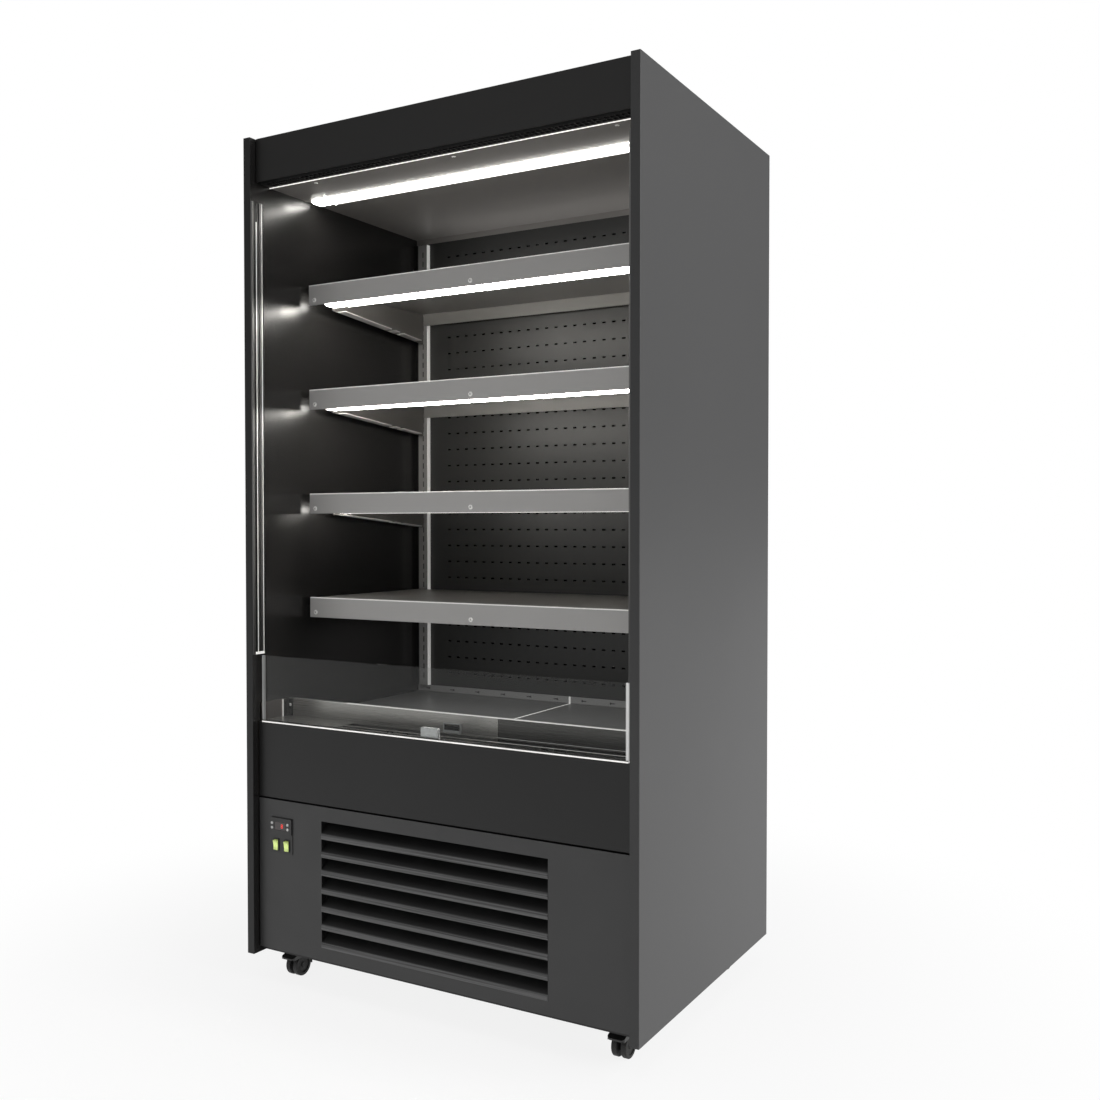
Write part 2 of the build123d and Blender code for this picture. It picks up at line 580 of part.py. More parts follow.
def led_lights():
    shapes = lamp(CANOPY_LAMP_LENGTH, Y_FRONT + CANOPY_LAMP_SETBACK, Z_CEILING, CANOPY_LAMP)
    for top in SHELF_TOPS[:LIT_SHELVES]:
        lens_low = Z_LOW + top - SHELF_FASCIA_HEIGHT
        y = Y_SHELF + SHELF_LAMP_SETBACK
        lamp_top = lens_low + sum(SHELF_LAMP)
        under = Z_LOW + top - SHELF_FASCIA_SHEET - SHELF_SHEET
        bar = lamp(LAMP_LENGTH, y, lamp_top, SHELF_LAMP)
        stem = block(centred(-LAMP_LENGTH / 3, 30), centred(y, 16), (lamp_top, under))
        bar[1] += stem + mirror(stem, about=Plane.YZ)
        shapes += bar
    return shapes


# ---------------------------------------------------------------- canopy and night blind
def canopy_fascia():
    x, z = (-X_FACE, X_FACE), (Z_TOP - FASCIA_HEIGHT, Z_TOP)
    plate = block(x, (Y_FACE, Y_FACE + SHEET), z)
    top = block(x, (Y_FACE, Y_CANOPY), (z[1] - SHEET, z[1]))
    hem = block(x, (Y_FACE, Y_FACE + 1.8), (z[0], z[0] + 9))
    end = block((x[0], x[0] + SHEET), (Y_FACE, Y_FACE + CANOPY_RETURN), z)
    shape = plate + top + hem
    for side in both_sides(end):
        shape += side
    return shape


def air_honeycomb():
    """Air outlet behind the blind: a frame across the cabinet, filled with cells."""
    depth, height = HONEYCOMB
    y = (Y_LIP - depth, Y_LIP)
    body = Pos(0, (y[0] + y[1]) / 2) * Rectangle(2 * X_IN, depth)
    pitch = HONEYCOMB_CELL + HONEYCOMB_WALL
    count = int((2 * X_IN - 2 * pitch) / pitch)
    places = GridLocations(pitch, pitch, count, HONEYCOMB_ROWS)
    cells = Sketch() + places * Rectangle(HONEYCOMB_CELL, HONEYCOMB_CELL)
    face = body - Pos(0, (y[0] + y[1]) / 2) * cells
    return extrude(Plane.XY.offset(Z_CEILING + 2) * face, amount=height)


def blind_guide():
    """Left guide: a bar with a slot that flares at its top, and a cap at its foot."""
    z = (Z_LOW + GUIDE_BOTTOM, Z_LOW + GUIDE_TOP)
    y = (Y_FRONT + GUIDE_SETBACK, Y_FRONT + GUIDE_SETBACK + GUIDE[0])
    x = (-X_IN, -X_IN + GUIDE[1])
    bar = block(x, y, (z[0] + GUIDE_CAP, z[1]))
    bar = fillet([e for e in bar.edges().filter_by(Axis.Z) if e.center().X > x[0] + 1], 1.2)
    slot = block((x[1] - GUIDE_SLOT_DEPTH, x[1]), centred(Y_BLIND, GUIDE_SLOT), z)
    flare_y, flare_z = GUIDE_FLARE
    back = Y_BLIND + GUIDE_SLOT / 2
    flare = profile_x([(back, z[1] - flare_z), (back - flare_y, z[1] - flare_z / 3),
                       (back - flare_y, z[1]), (back, z[1])], (x[1] - GUIDE_SLOT_DEPTH, x[1]))
    groove = block((x[1] - 1, x[1]), (y[1] - 5, y[1] - 3.5), z)
    cap = block(x, y, (z[0], z[0] + GUIDE_CAP))
    return [bar - slot - flare - groove, cap]


def roller_y():
    return Y_BLIND + ROLL_RADIUS + BLIND_SHEET / 2 + 0.3


def roller_bracket():
    y, z = roller_y(), Z_LOW + ROLLER_RISE
    x = (-X_IN, -X_IN + ROLLER_BEARING)
    plate = block(x, centred(y, 38), (z - 22, Z_TOP - SHEET))
    return plate - rod_x(ROLLER_STUB + RUNNING, x, y, z)


def blind_roller():
    """The roller tube with its stub axles, and the fabric wound on it."""
    y, z = roller_y(), Z_LOW + ROLLER_RISE
    half = X_IN - ROLLER_BEARING - 4
    tube = rod_x(ROLLER_RADIUS, (-half, half), y, z)
    tube -= rod_x(ROLLER_RADIUS - ROLLER_WALL, (-half + 12, half - 12), y, z)
    stub = half + ROLLER_BEARING
    tube += rod_x(ROLLER_STUB, (-stub, stub), y, z)
    fabric_half = half - 5
    roll = rod_x(ROLL_RADIUS, (-fabric_half, fabric_half), y, z)
    roll -= rod_x(ROLLER_RADIUS, (-fabric_half, fabric_half), y, z)
    return [tube, roll]


def blind_bar():
    half = X_IN - GUIDE[1] - BLIND_BAR_END_GAP
    z = (Z_LOW + BAR_REST, Z_LOW + BAR_REST + BLIND_BAR[1])
    bar = block((-half, half), centred(Y_BLIND, BLIND_BAR[0]), z)
    bar = fillet(bar.edges().filter_by(Axis.X), 1.5)
    thick, reach, tall = BAR_TAB
    tab = block((-half - reach, -half), centred(Y_BLIND, thick), (z[1] - tall, z[1]))
    return bar + tab + mirror(tab, about=Plane.YZ)


def blind_fabric():
    half = X_IN - ROLLER_BEARING - 9
    z = (Z_LOW + BAR_REST + BLIND_BAR[1], Z_LOW + ROLLER_RISE)
    return block((-half, half), centred(Y_BLIND, BLIND_SHEET), z)


# ---------------------------------------------------------------- controls
def rocker_x(side):
    return PLATE_MIDDLE[0] + side * ROCKER_SPACING / 2


def rocker_z():
    return Z_LOW + PLATE_MIDDLE[1] - ROCKER_DROP


def control_plate():
    """The plate on the grille panel, with a raised bezel round each rocker."""
    x, z = PLATE_MIDDLE[0], Z_LOW + PLATE_MIDDLE[1]
    y = (Y_FACE - PLATE[2], Y_FACE)
    plate = block(centred(x, PLATE[0]), y, centred(z, PLATE[1]))
    plate = fillet(plate.edges().filter_by(Axis.Y), 2.0)
    window_z = z + CONTROLLER_LIFT
    plate -= block(centred(x, CONTROLLER_BODY[0]), y, centred(window_z, CONTROLLER_BODY[1]))
    well_back = Y_FACE + 12
    for side in (-1, 1):
        well = (centred(rocker_x(side), ROCKER_BEZEL[0]), centred(rocker_z(), ROCKER_BEZEL[1]))
        bezel = block(well[0], (y[0] - ROCKER_BEZEL[2], well_back), well[1])
        plate += fillet(bezel.edges().filter_by(Axis.Y), 2.0)
        plate -= block(centred(rocker_x(side), ROCKER[0] + 2 * ROCKER_GAP),
                       (y[0] - ROCKER_BEZEL[2], well_back - 2), centred(rocker_z(), ROCKER[1] + 4))
        pin_x = centred(rocker_x(side), ROCKER_BEZEL[0] - 1.6)
        plate -= rod_x(ROCKER_PIN + RUNNING, pin_x, Y_FACE + 2, rocker_z())
    return plate


def rocker(side):
    """A shallow V that rocks on two small pins."""
    x, z = rocker_x(side), rocker_z()
    half = ROCKER[1] / 2
    front = Y_FACE - PLATE[2] - ROCKER_BEZEL[2] - 1
    back = front + ROCKER[2]
    rise = half * tan(radians(ROCKER_TILT))
    outline = [(front - rise, z - half), (front, z), (front - rise, z + half),
               (back - 3, z + half), (back, z), (back - 3, z - half)]
    body = profile_x(outline, centred(x, ROCKER[0]))
    pins = rod_x(ROCKER_PIN, centred(x, ROCKER_BEZEL[0] - 2.2), Y_FACE + 2, z)
    return Pos(0, Y_FACE + 2, z) * Rot(ROCKER_TILT, 0, 0) * Pos(0, -Y_FACE - 2, -z) * (body + pins)


def controller():
    """Bezel with a recessed display and four key wells, and the body behind it."""
    x = PLATE_MIDDLE[0]
    z = Z_LOW + PLATE_MIDDLE[1] + CONTROLLER_LIFT
    front = Y_FACE - PLATE[2] - CONTROLLER[2]
    bezel = block(centred(x, CONTROLLER[0]), (front, front + CONTROLLER[2]), centred(z, CONTROLLER[1]))
    bezel = fillet(bezel.edges().filter_by(Axis.Y), 2.5)
    body = block(centred(x, CONTROLLER_BODY[0] - 1), (front + CONTROLLER[2], Y_FACE + CONTROLLER_BODY[2]),
                 centred(z, CONTROLLER_BODY[1] - 1))
    shape = bezel + body
    shape -= block(centred(x + DISPLAY_X, DISPLAY[0]), (front, front + DISPLAY[2]), centred(z, DISPLAY[1]))
    well = KEY_LENGTH - KEY_PROUD + KEY_TRAVEL
    for key_x, key_z in KEY_PLACES:
        shape -= rod_y(KEY_RADIUS + RUNNING, x + key_x, (front, front + well), z + key_z)
    return shape


def key(place):
    x = PLATE_MIDDLE[0] + place[0]
    z = Z_LOW + PLATE_MIDDLE[1] + CONTROLLER_LIFT + place[1]
    front = Y_FACE - PLATE[2] - CONTROLLER[2] - KEY_PROUD
    cap = rod_y(KEY_RADIUS, x, (front, front + KEY_LENGTH), z)
    return fillet(cap.edges().filter_by(GeomType.CIRCLE).sort_by(Axis.Y)[0], 0.6)


# ---------------------------------------------------------------- cooling
def axial_fan(radius, blades, y, x, z, depth):
    """Hub and pitched blades that turn about Y; the hub sits on the motor's shaft."""
    hub_radius = radius * 0.28
    hub = rod_y(hub_radius, 0, (-depth / 2, depth / 2), 0)
    blade = Pos((radius + hub_radius) / 2 - 2, 0, 0) * Rot(28, 0, 0) * Box(
        radius - hub_radius + 4, 1.6, depth * 1.9)
    for i in range(blades):
        hub += Rot(0, i * 360 / blades, 0) * blade
    hub &= rod_y(radius, 0, (-depth, depth), 0)
    hub -= rod_y(FAN_SHAFT + RUNNING, 0, (-depth, depth), 0)
    return Pos(x, y, z) * hub


def fan_motor(y, x, z, radius, length, reach):
    """Motor drum with a shaft towards the front and a cross of arms."""
    motor = rod_y(radius, x, (y, y + length), z)
    motor += rod_y(FAN_SHAFT, x, (y - FAN_SHAFT_LENGTH, y), z)
    for angle in (45, -45):
        motor += Pos(x, y, z) * Rot(0, angle, 0) * Box(2 * reach, 2.0, 12, align=(FLAT, LOW, FLAT))
    return motor


def condenser_middle():
    return (CONDENSER_X, Z_PAN + PAN_SHEET + CONDENSER[2] / 2)


def finned_coil(x, y, z, rows):
    """Fins on edge, between two end plates, on horizontal tubes."""
    plate = 2.0
    shape = block((x[0], x[0] + plate), y, z) + block((x[1] - plate, x[1]), y, z)
    tubes = []
    for place in TUBE_ROWS:
        tube_y = y[0] + (y[1] - y[0]) * place
        for i in range(rows):
            tube_z = z[0] + (z[1] - z[0]) * (i + 0.5) / rows
            tubes.append(rod_x(COIL_TUBE, (x[0] - TUBE_END, x[1] + TUBE_END), tube_y, tube_z))
    count = int((x[1] - x[0] - 2 * plate) / FIN_PITCH)
    step = (x[1] - x[0] - plate) / (count + 1)
    fins = [block(centred(x[0] + plate / 2 + (i + 1) * step, FIN), y, z) for i in range(count)]
    return shape.fuse(*fins, *tubes)


def condenser_coil():
    x_mid, z_mid = condenser_middle()
    y = centred(CONDENSER_Y, CONDENSER[1])
    return finned_coil(centred(x_mid, CONDENSER[0]), y, centred(z_mid, CONDENSER[2]), 8)


def condenser_shroud():
    x_mid, z_mid = condenser_middle()
    y = (CONDENSER_Y + CONDENSER[1] / 2, shroud_back())
    x, z = centred(x_mid, CONDENSER[0]), centred(z_mid, CONDENSER[2])
    wall = 1.5
    shroud = block(x, y, z)
    shroud -= block((x[0] + wall, x[1] - wall), (y[0], y[1] - wall), (z[0] + wall, z[1] - wall))
    return shroud - rod_y(FAN_OPENING, x_mid, y, z_mid)


def shroud_back():
    return CONDENSER_Y + CONDENSER[1] / 2 + SHROUD_DEPTH


def condenser_fan():
    x_mid, z_mid = condenser_middle()
    return axial_fan(FAN_RADIUS, FAN_BLADES, shroud_back() - FAN_SETBACK, x_mid, z_mid, 24)


def cooler_fan_z():
    return (Z_TUB_FLOOR + SHEET + Z_DECK - DECK_SHEET) / 2


def cooler_motor_y():
    return FAN_PLATE_Y + DECK_SHEET + COOLER_LEG


def fan_motors():
    x_mid, z_mid = condenser_middle()
    motors = [fan_motor(shroud_back(), x_mid, z_mid, 36, 60, FAN_OPENING + 12)]
    for side in (-1, 1):
        x = side * COOLER_FAN_X
        motor = fan_motor(cooler_motor_y(), x, cooler_fan_z(), 20, 34, COOLER_FAN_OPENING + 14)
        reach = COOLER_FAN_OPENING * 0.82
        for dx in (-reach, reach):
            for dz in (-reach, reach):
                motor += block(centred(x + dx, 10), (FAN_PLATE_Y + DECK_SHEET, cooler_motor_y()),
                               centred(cooler_fan_z() + dz, 10))
        motors.append(motor)
    return motors


def evaporator_fan_plate():
    plate = block((-X_IN + SHEET, X_IN - SHEET), (FAN_PLATE_Y, FAN_PLATE_Y + DECK_SHEET),
                  (Z_TUB_FLOOR + SHEET, Z_DECK - DECK_SHEET))
    for side in (-1, 1):
        plate -= rod_y(COOLER_FAN_OPENING, side * COOLER_FAN_X, (FAN_PLATE_Y, FAN_PLATE_Y + DECK_SHEET),
                       cooler_fan_z())
    return plate


def evaporator_fan(side):
    y = cooler_motor_y() - FAN_SETBACK
    return axial_fan(COOLER_FAN_RADIUS, FAN_BLADES, y, side * COOLER_FAN_X, cooler_fan_z(), 14)


def evaporator_coil():
    z0 = Z_TUB_FLOOR + SHEET
    y = centred(EVAPORATOR_Y, EVAPORATOR[1])
    return finned_coil(centred(0, EVAPORATOR[0]), y, (z0, z0 + EVAPORATOR[2]), 3)


def compressor():
    x, y = COMPRESSOR_PLACE
    z0 = Z_PAN + PAN_SHEET
    dome = 42.0
    can = rod_z(COMPRESSOR_RADIUS, x, y, (z0 + 14, z0 + COMPRESSOR_HEIGHT))
    can = fillet(can.edges().filter_by(GeomType.CIRCLE).sort_by(Axis.Z)[-1], dome)
    seam = rod_z(COMPRESSOR_RADIUS + 4, x, y, (z0 + 96, z0 + 102))
    foot = Pos(x, y, z0 + 14) * Box(190, 130, 3, align=(FLAT, FLAT, FLAT))
    shape = can + seam + foot
    for dx in (-82, 82):
        for dy in (-52, 52):
            shape += rod_z(9, x + dx, y + dy, (z0, z0 + 14))
    terminal = block((x + COMPRESSOR_RADIUS - 12, x + COMPRESSOR_RADIUS + 22), centred(y, 50),
                     (z0 + 50, z0 + 92))
    return shape + terminal


def drip_tray():
    x, y = TRAY_PLACE
    z0 = Z_PAN + PAN_SHEET
    shell = tray(centred(x, TRAY[0]), centred(y, TRAY[1]), (z0, z0 + TRAY[2]), 1.5)
    rim = block(centred(x, TRAY[0] + 8), centred(y, TRAY[1] + 8), (z0 + TRAY[2] - 1.5, z0 + TRAY[2]))
    rim -= block(centred(x, TRAY[0] - 3), centred(y, TRAY[1] - 3), (z0 + TRAY[2] - 1.5, z0 + TRAY[2]))
    return shell + rim


def pipe_passage():
    """The pipes' way from the machine compartment up into the tub."""
    x, y, width, depth = PASSAGE
    return block(centred(x, width), centred(y, depth), (Z_TUB - 2 * SHEET, Z_TUB_FLOOR + 2 * SHEET))


def drain_bore(radius):
    x, y = DRAIN_PLACE
    return rod_z(radius, x, y, (Z_TUB - 2 * SHEET, Z_TUB_FLOOR + 2 * SHEET))


def drain_spout():
    """Tube from the tub's floor down into the drip tray."""
    x, y = DRAIN_PLACE
    z = (Z_PAN + PAN_SHEET + TRAY[2] - 12, Z_TUB_FLOOR + SHEET)
    return rod_z(DRAIN, x, y, z) - rod_z(DRAIN - SHEET, x, y, z)


def pipe(points, bend):
    """A round pipe along straight runs with equal bends."""
    path = FilletPolyline(*points, radius=bend)
    section = Plane(origin=path @ 0, z_dir=path % 0) * Circle(PIPE)
    return sweep(section, path=path)


def refrigerant_pipes():
    """Suction, discharge and liquid lines."""
    x_c, y_c = COMPRESSOR_PLACE
    top = Z_PAN + PAN_SHEET + COMPRESSOR_HEIGHT
    over = top + 40
    in_x, in_y = PASSAGE[0], PASSAGE[1]
    x_mid, z_mid = condenser_middle()
    coil_end = x_mid + CONDENSER[0] / 2 + TUBE_END
    coil_y = CONDENSER_Y + CONDENSER[1] * (TUBE_ROWS[0] - 0.5)
    high = z_mid + CONDENSER[2] * 7 / 16
    low = z_mid - CONDENSER[2] * 7 / 16
    tub_z = Z_TUB_FLOOR + SHEET + EVAPORATOR[2] / 2
    cooler_end = EVAPORATOR[0] / 2 + TUBE_END
    near_y = EVAPORATOR_Y + EVAPORATOR[1] * (TUBE_ROWS[0] - 0.5)
    far_y = EVAPORATOR_Y + EVAPORATOR[1] * (TUBE_ROWS[1] - 0.5)
    suction_x, liquid_x = in_x - 8, in_x + 10
    suction = [(x_c + 30, y_c, top), (x_c + 30, y_c, over + 20), (suction_x, y_c, over + 20),
               (suction_x, in_y, over + 20), (suction_x, in_y, tub_z),
               (suction_x, near_y, tub_z), (cooler_end, near_y, tub_z)]
    discharge = [(x_c - 30, y_c, top), (x_c - 30, y_c, over), (x_c - 30, coil_y, over),
                 (x_c - 30, coil_y, high), (coil_end, coil_y, high)]
    liquid = [(coil_end, coil_y, low), (liquid_x, coil_y, low), (liquid_x, in_y, low),
              (liquid_x, in_y, tub_z), (liquid_x, far_y, tub_z), (cooler_end, far_y, tub_z)]
    return [pipe(suction, 10), pipe(discharge, 10), pipe(liquid, 10)]


# ---------------------------------------------------------------- castors
def castor_places():
    return {
        "front_left": (-CASTOR_X, CASTOR_FRONT_Y), "front_right": (CASTOR_X, CASTOR_FRONT_Y),
        "rear_left": (-CASTOR_X, CASTOR_REAR_Y), "rear_right": (CASTOR_X, CASTOR_REAR_Y),
    }


def castor_plate(place):
    """Fixed top plate with its raceway and the kingpin's bore."""
    x, y = place
    low = Z_PAN - CASTOR_PLATE[2]
    plate = block(centred(x, CASTOR_PLATE[0]), centred(y, CASTOR_PLATE[1]), (low, Z_PAN))
    plate = fillet(plate.edges().filter_by(Axis.Z), 5.0)
    plate += rod_z(RACE_RADIUS, x, y, (SWIVEL_TOP, low))
    return plate - rod_z(KINGPIN + RUNNING, x, y, (SWIVEL_TOP, Z_PAN - 1))


def castor_fork(place):
    """Swivel head, the web between the wheels and the hood over them."""
    x, y = place
    top = SWIVEL_TOP - SWIVEL_GAP
    head_low = top - SWIVEL_HEAD
    axle_y = y - CASTOR_TRAIL
    across = centred(x, WEB)
    head = rod_z(SWIVEL_RADIUS, x, y, (head_low, top)) + rod_z(KINGPIN, x, y, (head_low, Z_PAN - 2))
    inner = WHEEL_RADIUS + HOOD_GAP
    outer = inner + HOOD_WALL
    web = rod_x(outer, across, axle_y, WHEEL_RADIUS)
    web &= block(across, (axle_y - BRAKE_NOSE, axle_y + outer), (WHEEL_RADIUS - 12, head_low))
    web += block(across, (axle_y - BRAKE_NOSE, y + 14), (WHEEL_RADIUS, head_low))
    width = centred(x, WHEEL_GAP + 2 * WHEEL_WIDTH)
    hood = rod_x(outer, width, axle_y, WHEEL_RADIUS) - rod_x(inner, width, axle_y, WHEEL_RADIUS)
    hood &= block(width, (axle_y + 7, axle_y + outer), (WHEEL_RADIUS - 4, head_low))
    fork = head + web + hood
    return fork - rod_x(AXLE + RUNNING, across, axle_y, WHEEL_RADIUS)


def castor_wheels(place):
    """Two wheels on one axle."""
    x, y = place
    gap = WHEEL_GAP / 2
    outside = gap + WHEEL_WIDTH
    wheel = rod_x(WHEEL_RADIUS, (gap, outside), 0, 0)
    wheel = fillet(wheel.edges().filter_by(GeomType.CIRCLE), 2.0)
    wheel -= rod_x(WHEEL_RADIUS - 7, (outside - 2, outside), 0, 0)
    wheel += rod_x(6.0, (outside - 2, outside), 0, 0)
    pair = wheel + mirror(wheel, about=Plane.YZ) + rod_x(AXLE, (-gap - 1, gap + 1), 0, 0)
    return Pos(x, y - CASTOR_TRAIL, WHEEL_RADIUS) * pair


def brake_pivot(place):
    """Y and Z of the pedal's pin."""
    return (place[1] - CASTOR_TRAIL - 2.0, 2 * WHEEL_RADIUS + BRAKE_LIFT)


def brake_bore(place):
    y, z = brake_pivot(place)
    return rod_x(BRAKE_PIN + RUNNING, centred(place[0], WEB), y, z)


def castor_brake(place):
    """Pedal that dips ahead of the wheels, with side skirts and two cheeks on a pin through the web."""
    x = place[0]
    y, z = brake_pivot(place)
    inner, cheek = WEB / 2 + 0.4, 3.6
    rear, tip = y - BRAKE_NOSE + 1.0, y - BRAKE_REACH
    knee = y - 2 * BRAKE_NOSE
    high, low = z + BRAKE_SHEET - 0.5, z - 0.5
    width = WHEEL_GAP + 2 * (WHEEL_WIDTH + BRAKE_SIDE_GAP + BRAKE_SKIRT)
    side = [(rear, high), (knee, high), (tip, high - BRAKE_DIP), (tip, low - BRAKE_DIP), (knee, low),
            (rear, low)]
    plan = block(centred(x, width), (tip, rear), (z - 30, z + 10))
    plan = fillet([e for e in plan.edges().filter_by(Axis.Z) if e.center().Y < tip + 1], BRAKE_CORNER)
    shape = profile_x(side, centred(x, width))
    skirt = [(rear, high), (knee, high), (tip, high - BRAKE_DIP), (tip, low - BRAKE_DIP - 2),
             (knee - 4, low - BRAKE_SKIRT_DROP), (rear, low - BRAKE_SKIRT_DROP)]
    skirts = profile_x(skirt, centred(x, width))
    shape += skirts - block(centred(x, width - 2 * BRAKE_SKIRT), (tip, rear), (z - 30, z + 10))
    shape &= plan
    shape += rod_x(BRAKE_PIN, centred(x, 2 * (inner + cheek)), y, z)
    for side in (-1, 1):
        sides = sorted((x + side * inner, x + side * (inner + cheek)))
        shape += rod_x(3.0, sides, y, z)
        shape += block(sides, (rear - 3, y), (low, z + 3.0))
    return shape


# ---------------------------------------------------------------- fasteners
def screws():
    """Every screw and bolt head that can be seen on the cabinet."""
    heads = []
    for top in SHELF_TOPS:
        z = Z_LOW + top - SHELF_FASCIA_HEIGHT + 12
        for x in (-SHELF_SCREW_X, 0, SHELF_SCREW_X):
            heads.append(rod_y(SHELF_SCREW_HEAD, x, (Y_SHELF - 1.8, Y_SHELF), z))
    for x in CEILING_SCREWS:
        heads.append(rod_z(SCREW_HEAD, x, Y_CANOPY + 4, (Z_CEILING - 1.8, Z_CEILING)))
    low = Z_PANEL + DECK_SHEET + END_BRACKET[2] / 2
    bracket_x = X_IN - 2 * SHEET - DECK_SHEET - END_BRACKET[0] / 2 - 1.5
    for x in (-bracket_x, bracket_x):
        y = Y_RISER - END_BRACKET[1]
        heads.append(rod_y(SCREW_HEAD - 1, x, (y - 1.5, y), low + 6))
    reach = CASTOR_PLATE[0] / 2 - 7.5
    for x, y in castor_places().values():
        for dx in (-reach, reach):
            for dy in (-reach, reach):
                z = Z_PAN - CASTOR_PLATE[2]
                heads.append(rod_z(SCREW_HEAD, x + dx, y + dy, (z - 3, z)))
    for x in (-X_IN + 12, X_IN - 12):
        for i in range(REAR_SCREWS):
            z = Z_PAN + 30 + i * (Z_TOP - Z_PAN - 60) / (REAR_SCREWS - 1)
            heads.append(rod_y(SCREW_HEAD, x, (Y_BACK, Y_BACK + 1.8), z))
    return heads


# ---------------------------------------------------------------- assembly
def fixed_nodes():
    shelf_z = [Z_LOW + top for top in SHELF_TOPS]
    left = side_panel()
    deck = deck_panel()
    places = list(castor_places().values())
    brackets = [piece for z in shelf_z for piece in both_sides(shelf_bracket(z))]
    guide, cap = blind_guide()
    return {
        "side_panel_left": left,
        "side_panel_right": mirror(left, about=Plane.YZ),
        "insulation_foam": insulation(),
        "inner_liners": inner_liners(),
        "rear_panel": rear_panel(),
        "top_panel": top_panel(),
        "duct_panel": duct_panel(),
        "shelf_uprights": shelf_uprights(),
        "canopy_fascia": canopy_fascia(),
        "ceiling_panel": ceiling_panel(),
        "air_honeycomb": air_honeycomb(),
        "led_lights": led_lights(),
        "front_panel": front_panel(),
        "grille_panel": grille_panel(),
        "front_glass": glass_guard(),
        "glass_rail": glass_rail(),
        "return_grille": return_grille(),
        "deck_panels": both_sides(deck),
        "tub_liner": tub_liner(),
        "base_pan": base_pan(),
        "control_plate": control_plate(),
        "controller": controller(),
        "compressor": compressor(),
        "condenser_coil": condenser_coil(),
        "condenser_shroud": condenser_shroud(),
        "evaporator_coil": evaporator_coil(),
        "evaporator_fan_plate": evaporator_fan_plate(),
        "fan_motors": fan_motors(),
        "refrigerant_pipes": refrigerant_pipes(),
        "drip_tray": drip_tray(),
        "blind_guides": both_sides(guide) + both_sides(cap),
        "roller_brackets": both_sides(roller_bracket()),
        "centre_clips": centre_clips(),
        "shelf_brackets": brackets,
        "shelf_fronts": [shelf_fascia(z) for z in shelf_z],
        "shelves": [shelf_tray(z) for z in shelf_z],
        "panel_screws": screws(),
        "castor_plates": [castor_plate(place) for place in places],
    }


def moving_nodes():
    nodes = {
        "condenser_fan": condenser_fan(),
        "evaporator_fan_left": evaporator_fan(-1),
        "evaporator_fan_right": evaporator_fan(1),
        "blind_roller": blind_roller(),
        "blind_bar": blind_bar(),
        "blind_fabric": blind_fabric(),
        "rocker_left": rocker(-1),
        "rocker_right": rocker(1),
    }
    for number, place in enumerate(KEY_PLACES, start=1):
        nodes[f"key_{number}"] = key(place)
    for name, place in castor_places().items():
        fork = castor_fork(place)
        if name.startswith("front"):
            fork = fork - brake_bore(place)
            nodes[f"castor_brake_{name}"] = castor_brake(place)
        nodes[f"castor_fork_{name}"] = fork
        nodes[f"castor_wheels_{name}"] = castor_wheels(place)
    return nodes


def export(nodes):
    os.makedirs("parts", exist_ok=True)
    for name, shape in nodes.items():
        if isinstance(shape, list):
            shape = Compound(children=shape)
        export_step(shape, f"parts/{name}.step")


export(fixed_nodes() | moving_nodes())
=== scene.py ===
"""Open multideck display fridge: its finishes, lamps, controls, night blind and studio.

Metres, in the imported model's own frame: +X to the viewer's right, -Y out of the open front, +Z up.
"""
import math

import bmesh
import bpy
from bpy.props import FloatProperty, FloatVectorProperty, PointerProperty
from mathutils import Matrix, Vector


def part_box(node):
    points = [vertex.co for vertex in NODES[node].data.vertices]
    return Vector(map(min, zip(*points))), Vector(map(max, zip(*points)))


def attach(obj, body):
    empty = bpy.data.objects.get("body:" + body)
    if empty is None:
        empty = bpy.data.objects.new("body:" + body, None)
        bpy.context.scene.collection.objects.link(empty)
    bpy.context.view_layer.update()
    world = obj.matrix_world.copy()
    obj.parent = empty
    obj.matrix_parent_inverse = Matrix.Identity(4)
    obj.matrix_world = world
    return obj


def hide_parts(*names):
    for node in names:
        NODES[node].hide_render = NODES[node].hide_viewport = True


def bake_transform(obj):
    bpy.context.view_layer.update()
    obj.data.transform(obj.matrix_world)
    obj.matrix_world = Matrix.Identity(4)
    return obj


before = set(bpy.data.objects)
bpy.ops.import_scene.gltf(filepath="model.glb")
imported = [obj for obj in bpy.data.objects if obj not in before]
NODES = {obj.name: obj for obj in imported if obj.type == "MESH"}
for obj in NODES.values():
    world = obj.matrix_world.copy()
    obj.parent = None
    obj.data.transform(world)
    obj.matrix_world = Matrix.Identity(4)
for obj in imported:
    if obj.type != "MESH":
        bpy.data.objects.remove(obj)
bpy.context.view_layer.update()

bl_info = {
    "name": "Multideck display fridge",
    "version": (1, 0, 0),
    "blender": (4, 5, 0),
    "location": "View3D > Sidebar > Fridge",
    "description": "Dresses the display fridge: finishes, lamps, controls, blind and studio",
    "category": "Object",
}

WHITE = (1.0, 1.0, 1.0)
BLACK = (0.0, 0.0, 0.0)
SHADOW = (0.0008, 0.0008, 0.0008)

# Lengths on the pieces, in metres, mostly where a finish changes
SHADED_RIM_EDGE = 0.0006       # width of the painted shade along a side panel's front rim
FASCIA_HIGHLIGHT = 0.0021    # height of the painted highlight along the top of a shelf fascia
BLADE = 0.0021          # upright blade of a shelf bracket, beside its lip
LIP_REACH = 0.0014      # how far the louvres' lips stand out of the grille's face
FACE_SHEET = 0.0012     # sheet of the grille's face
FACE_HEM = 0.02         # closed strip under the louvres
GUIDE_CAP = 0.006       # height of the cap at a guide's foot, drawn as a painted highlight
UPRIGHT_HIGHLIGHT = 0.0282   # from an upright's outer edge to its inner edge, where a painted highlight runs
DECK_JOINT = 0.0024     # half of the joint between the deck panels, along which a painted highlight runs
DECK_DEPTH = 0.0186     # from the upstand's top to just under the deck
DECK_UPSTAND = 0.0165   # height of the upstand band that is painted lighter, as painted light
CREST = 0.0016          # bent edge on top of the riser, which carries a painted highlight
BRACKET_DROP = 0.0017   # from the riser's top to its end brackets
BAR_HIGHLIGHT = 0.0016       # half of the painted highlight on the bar between the return slots
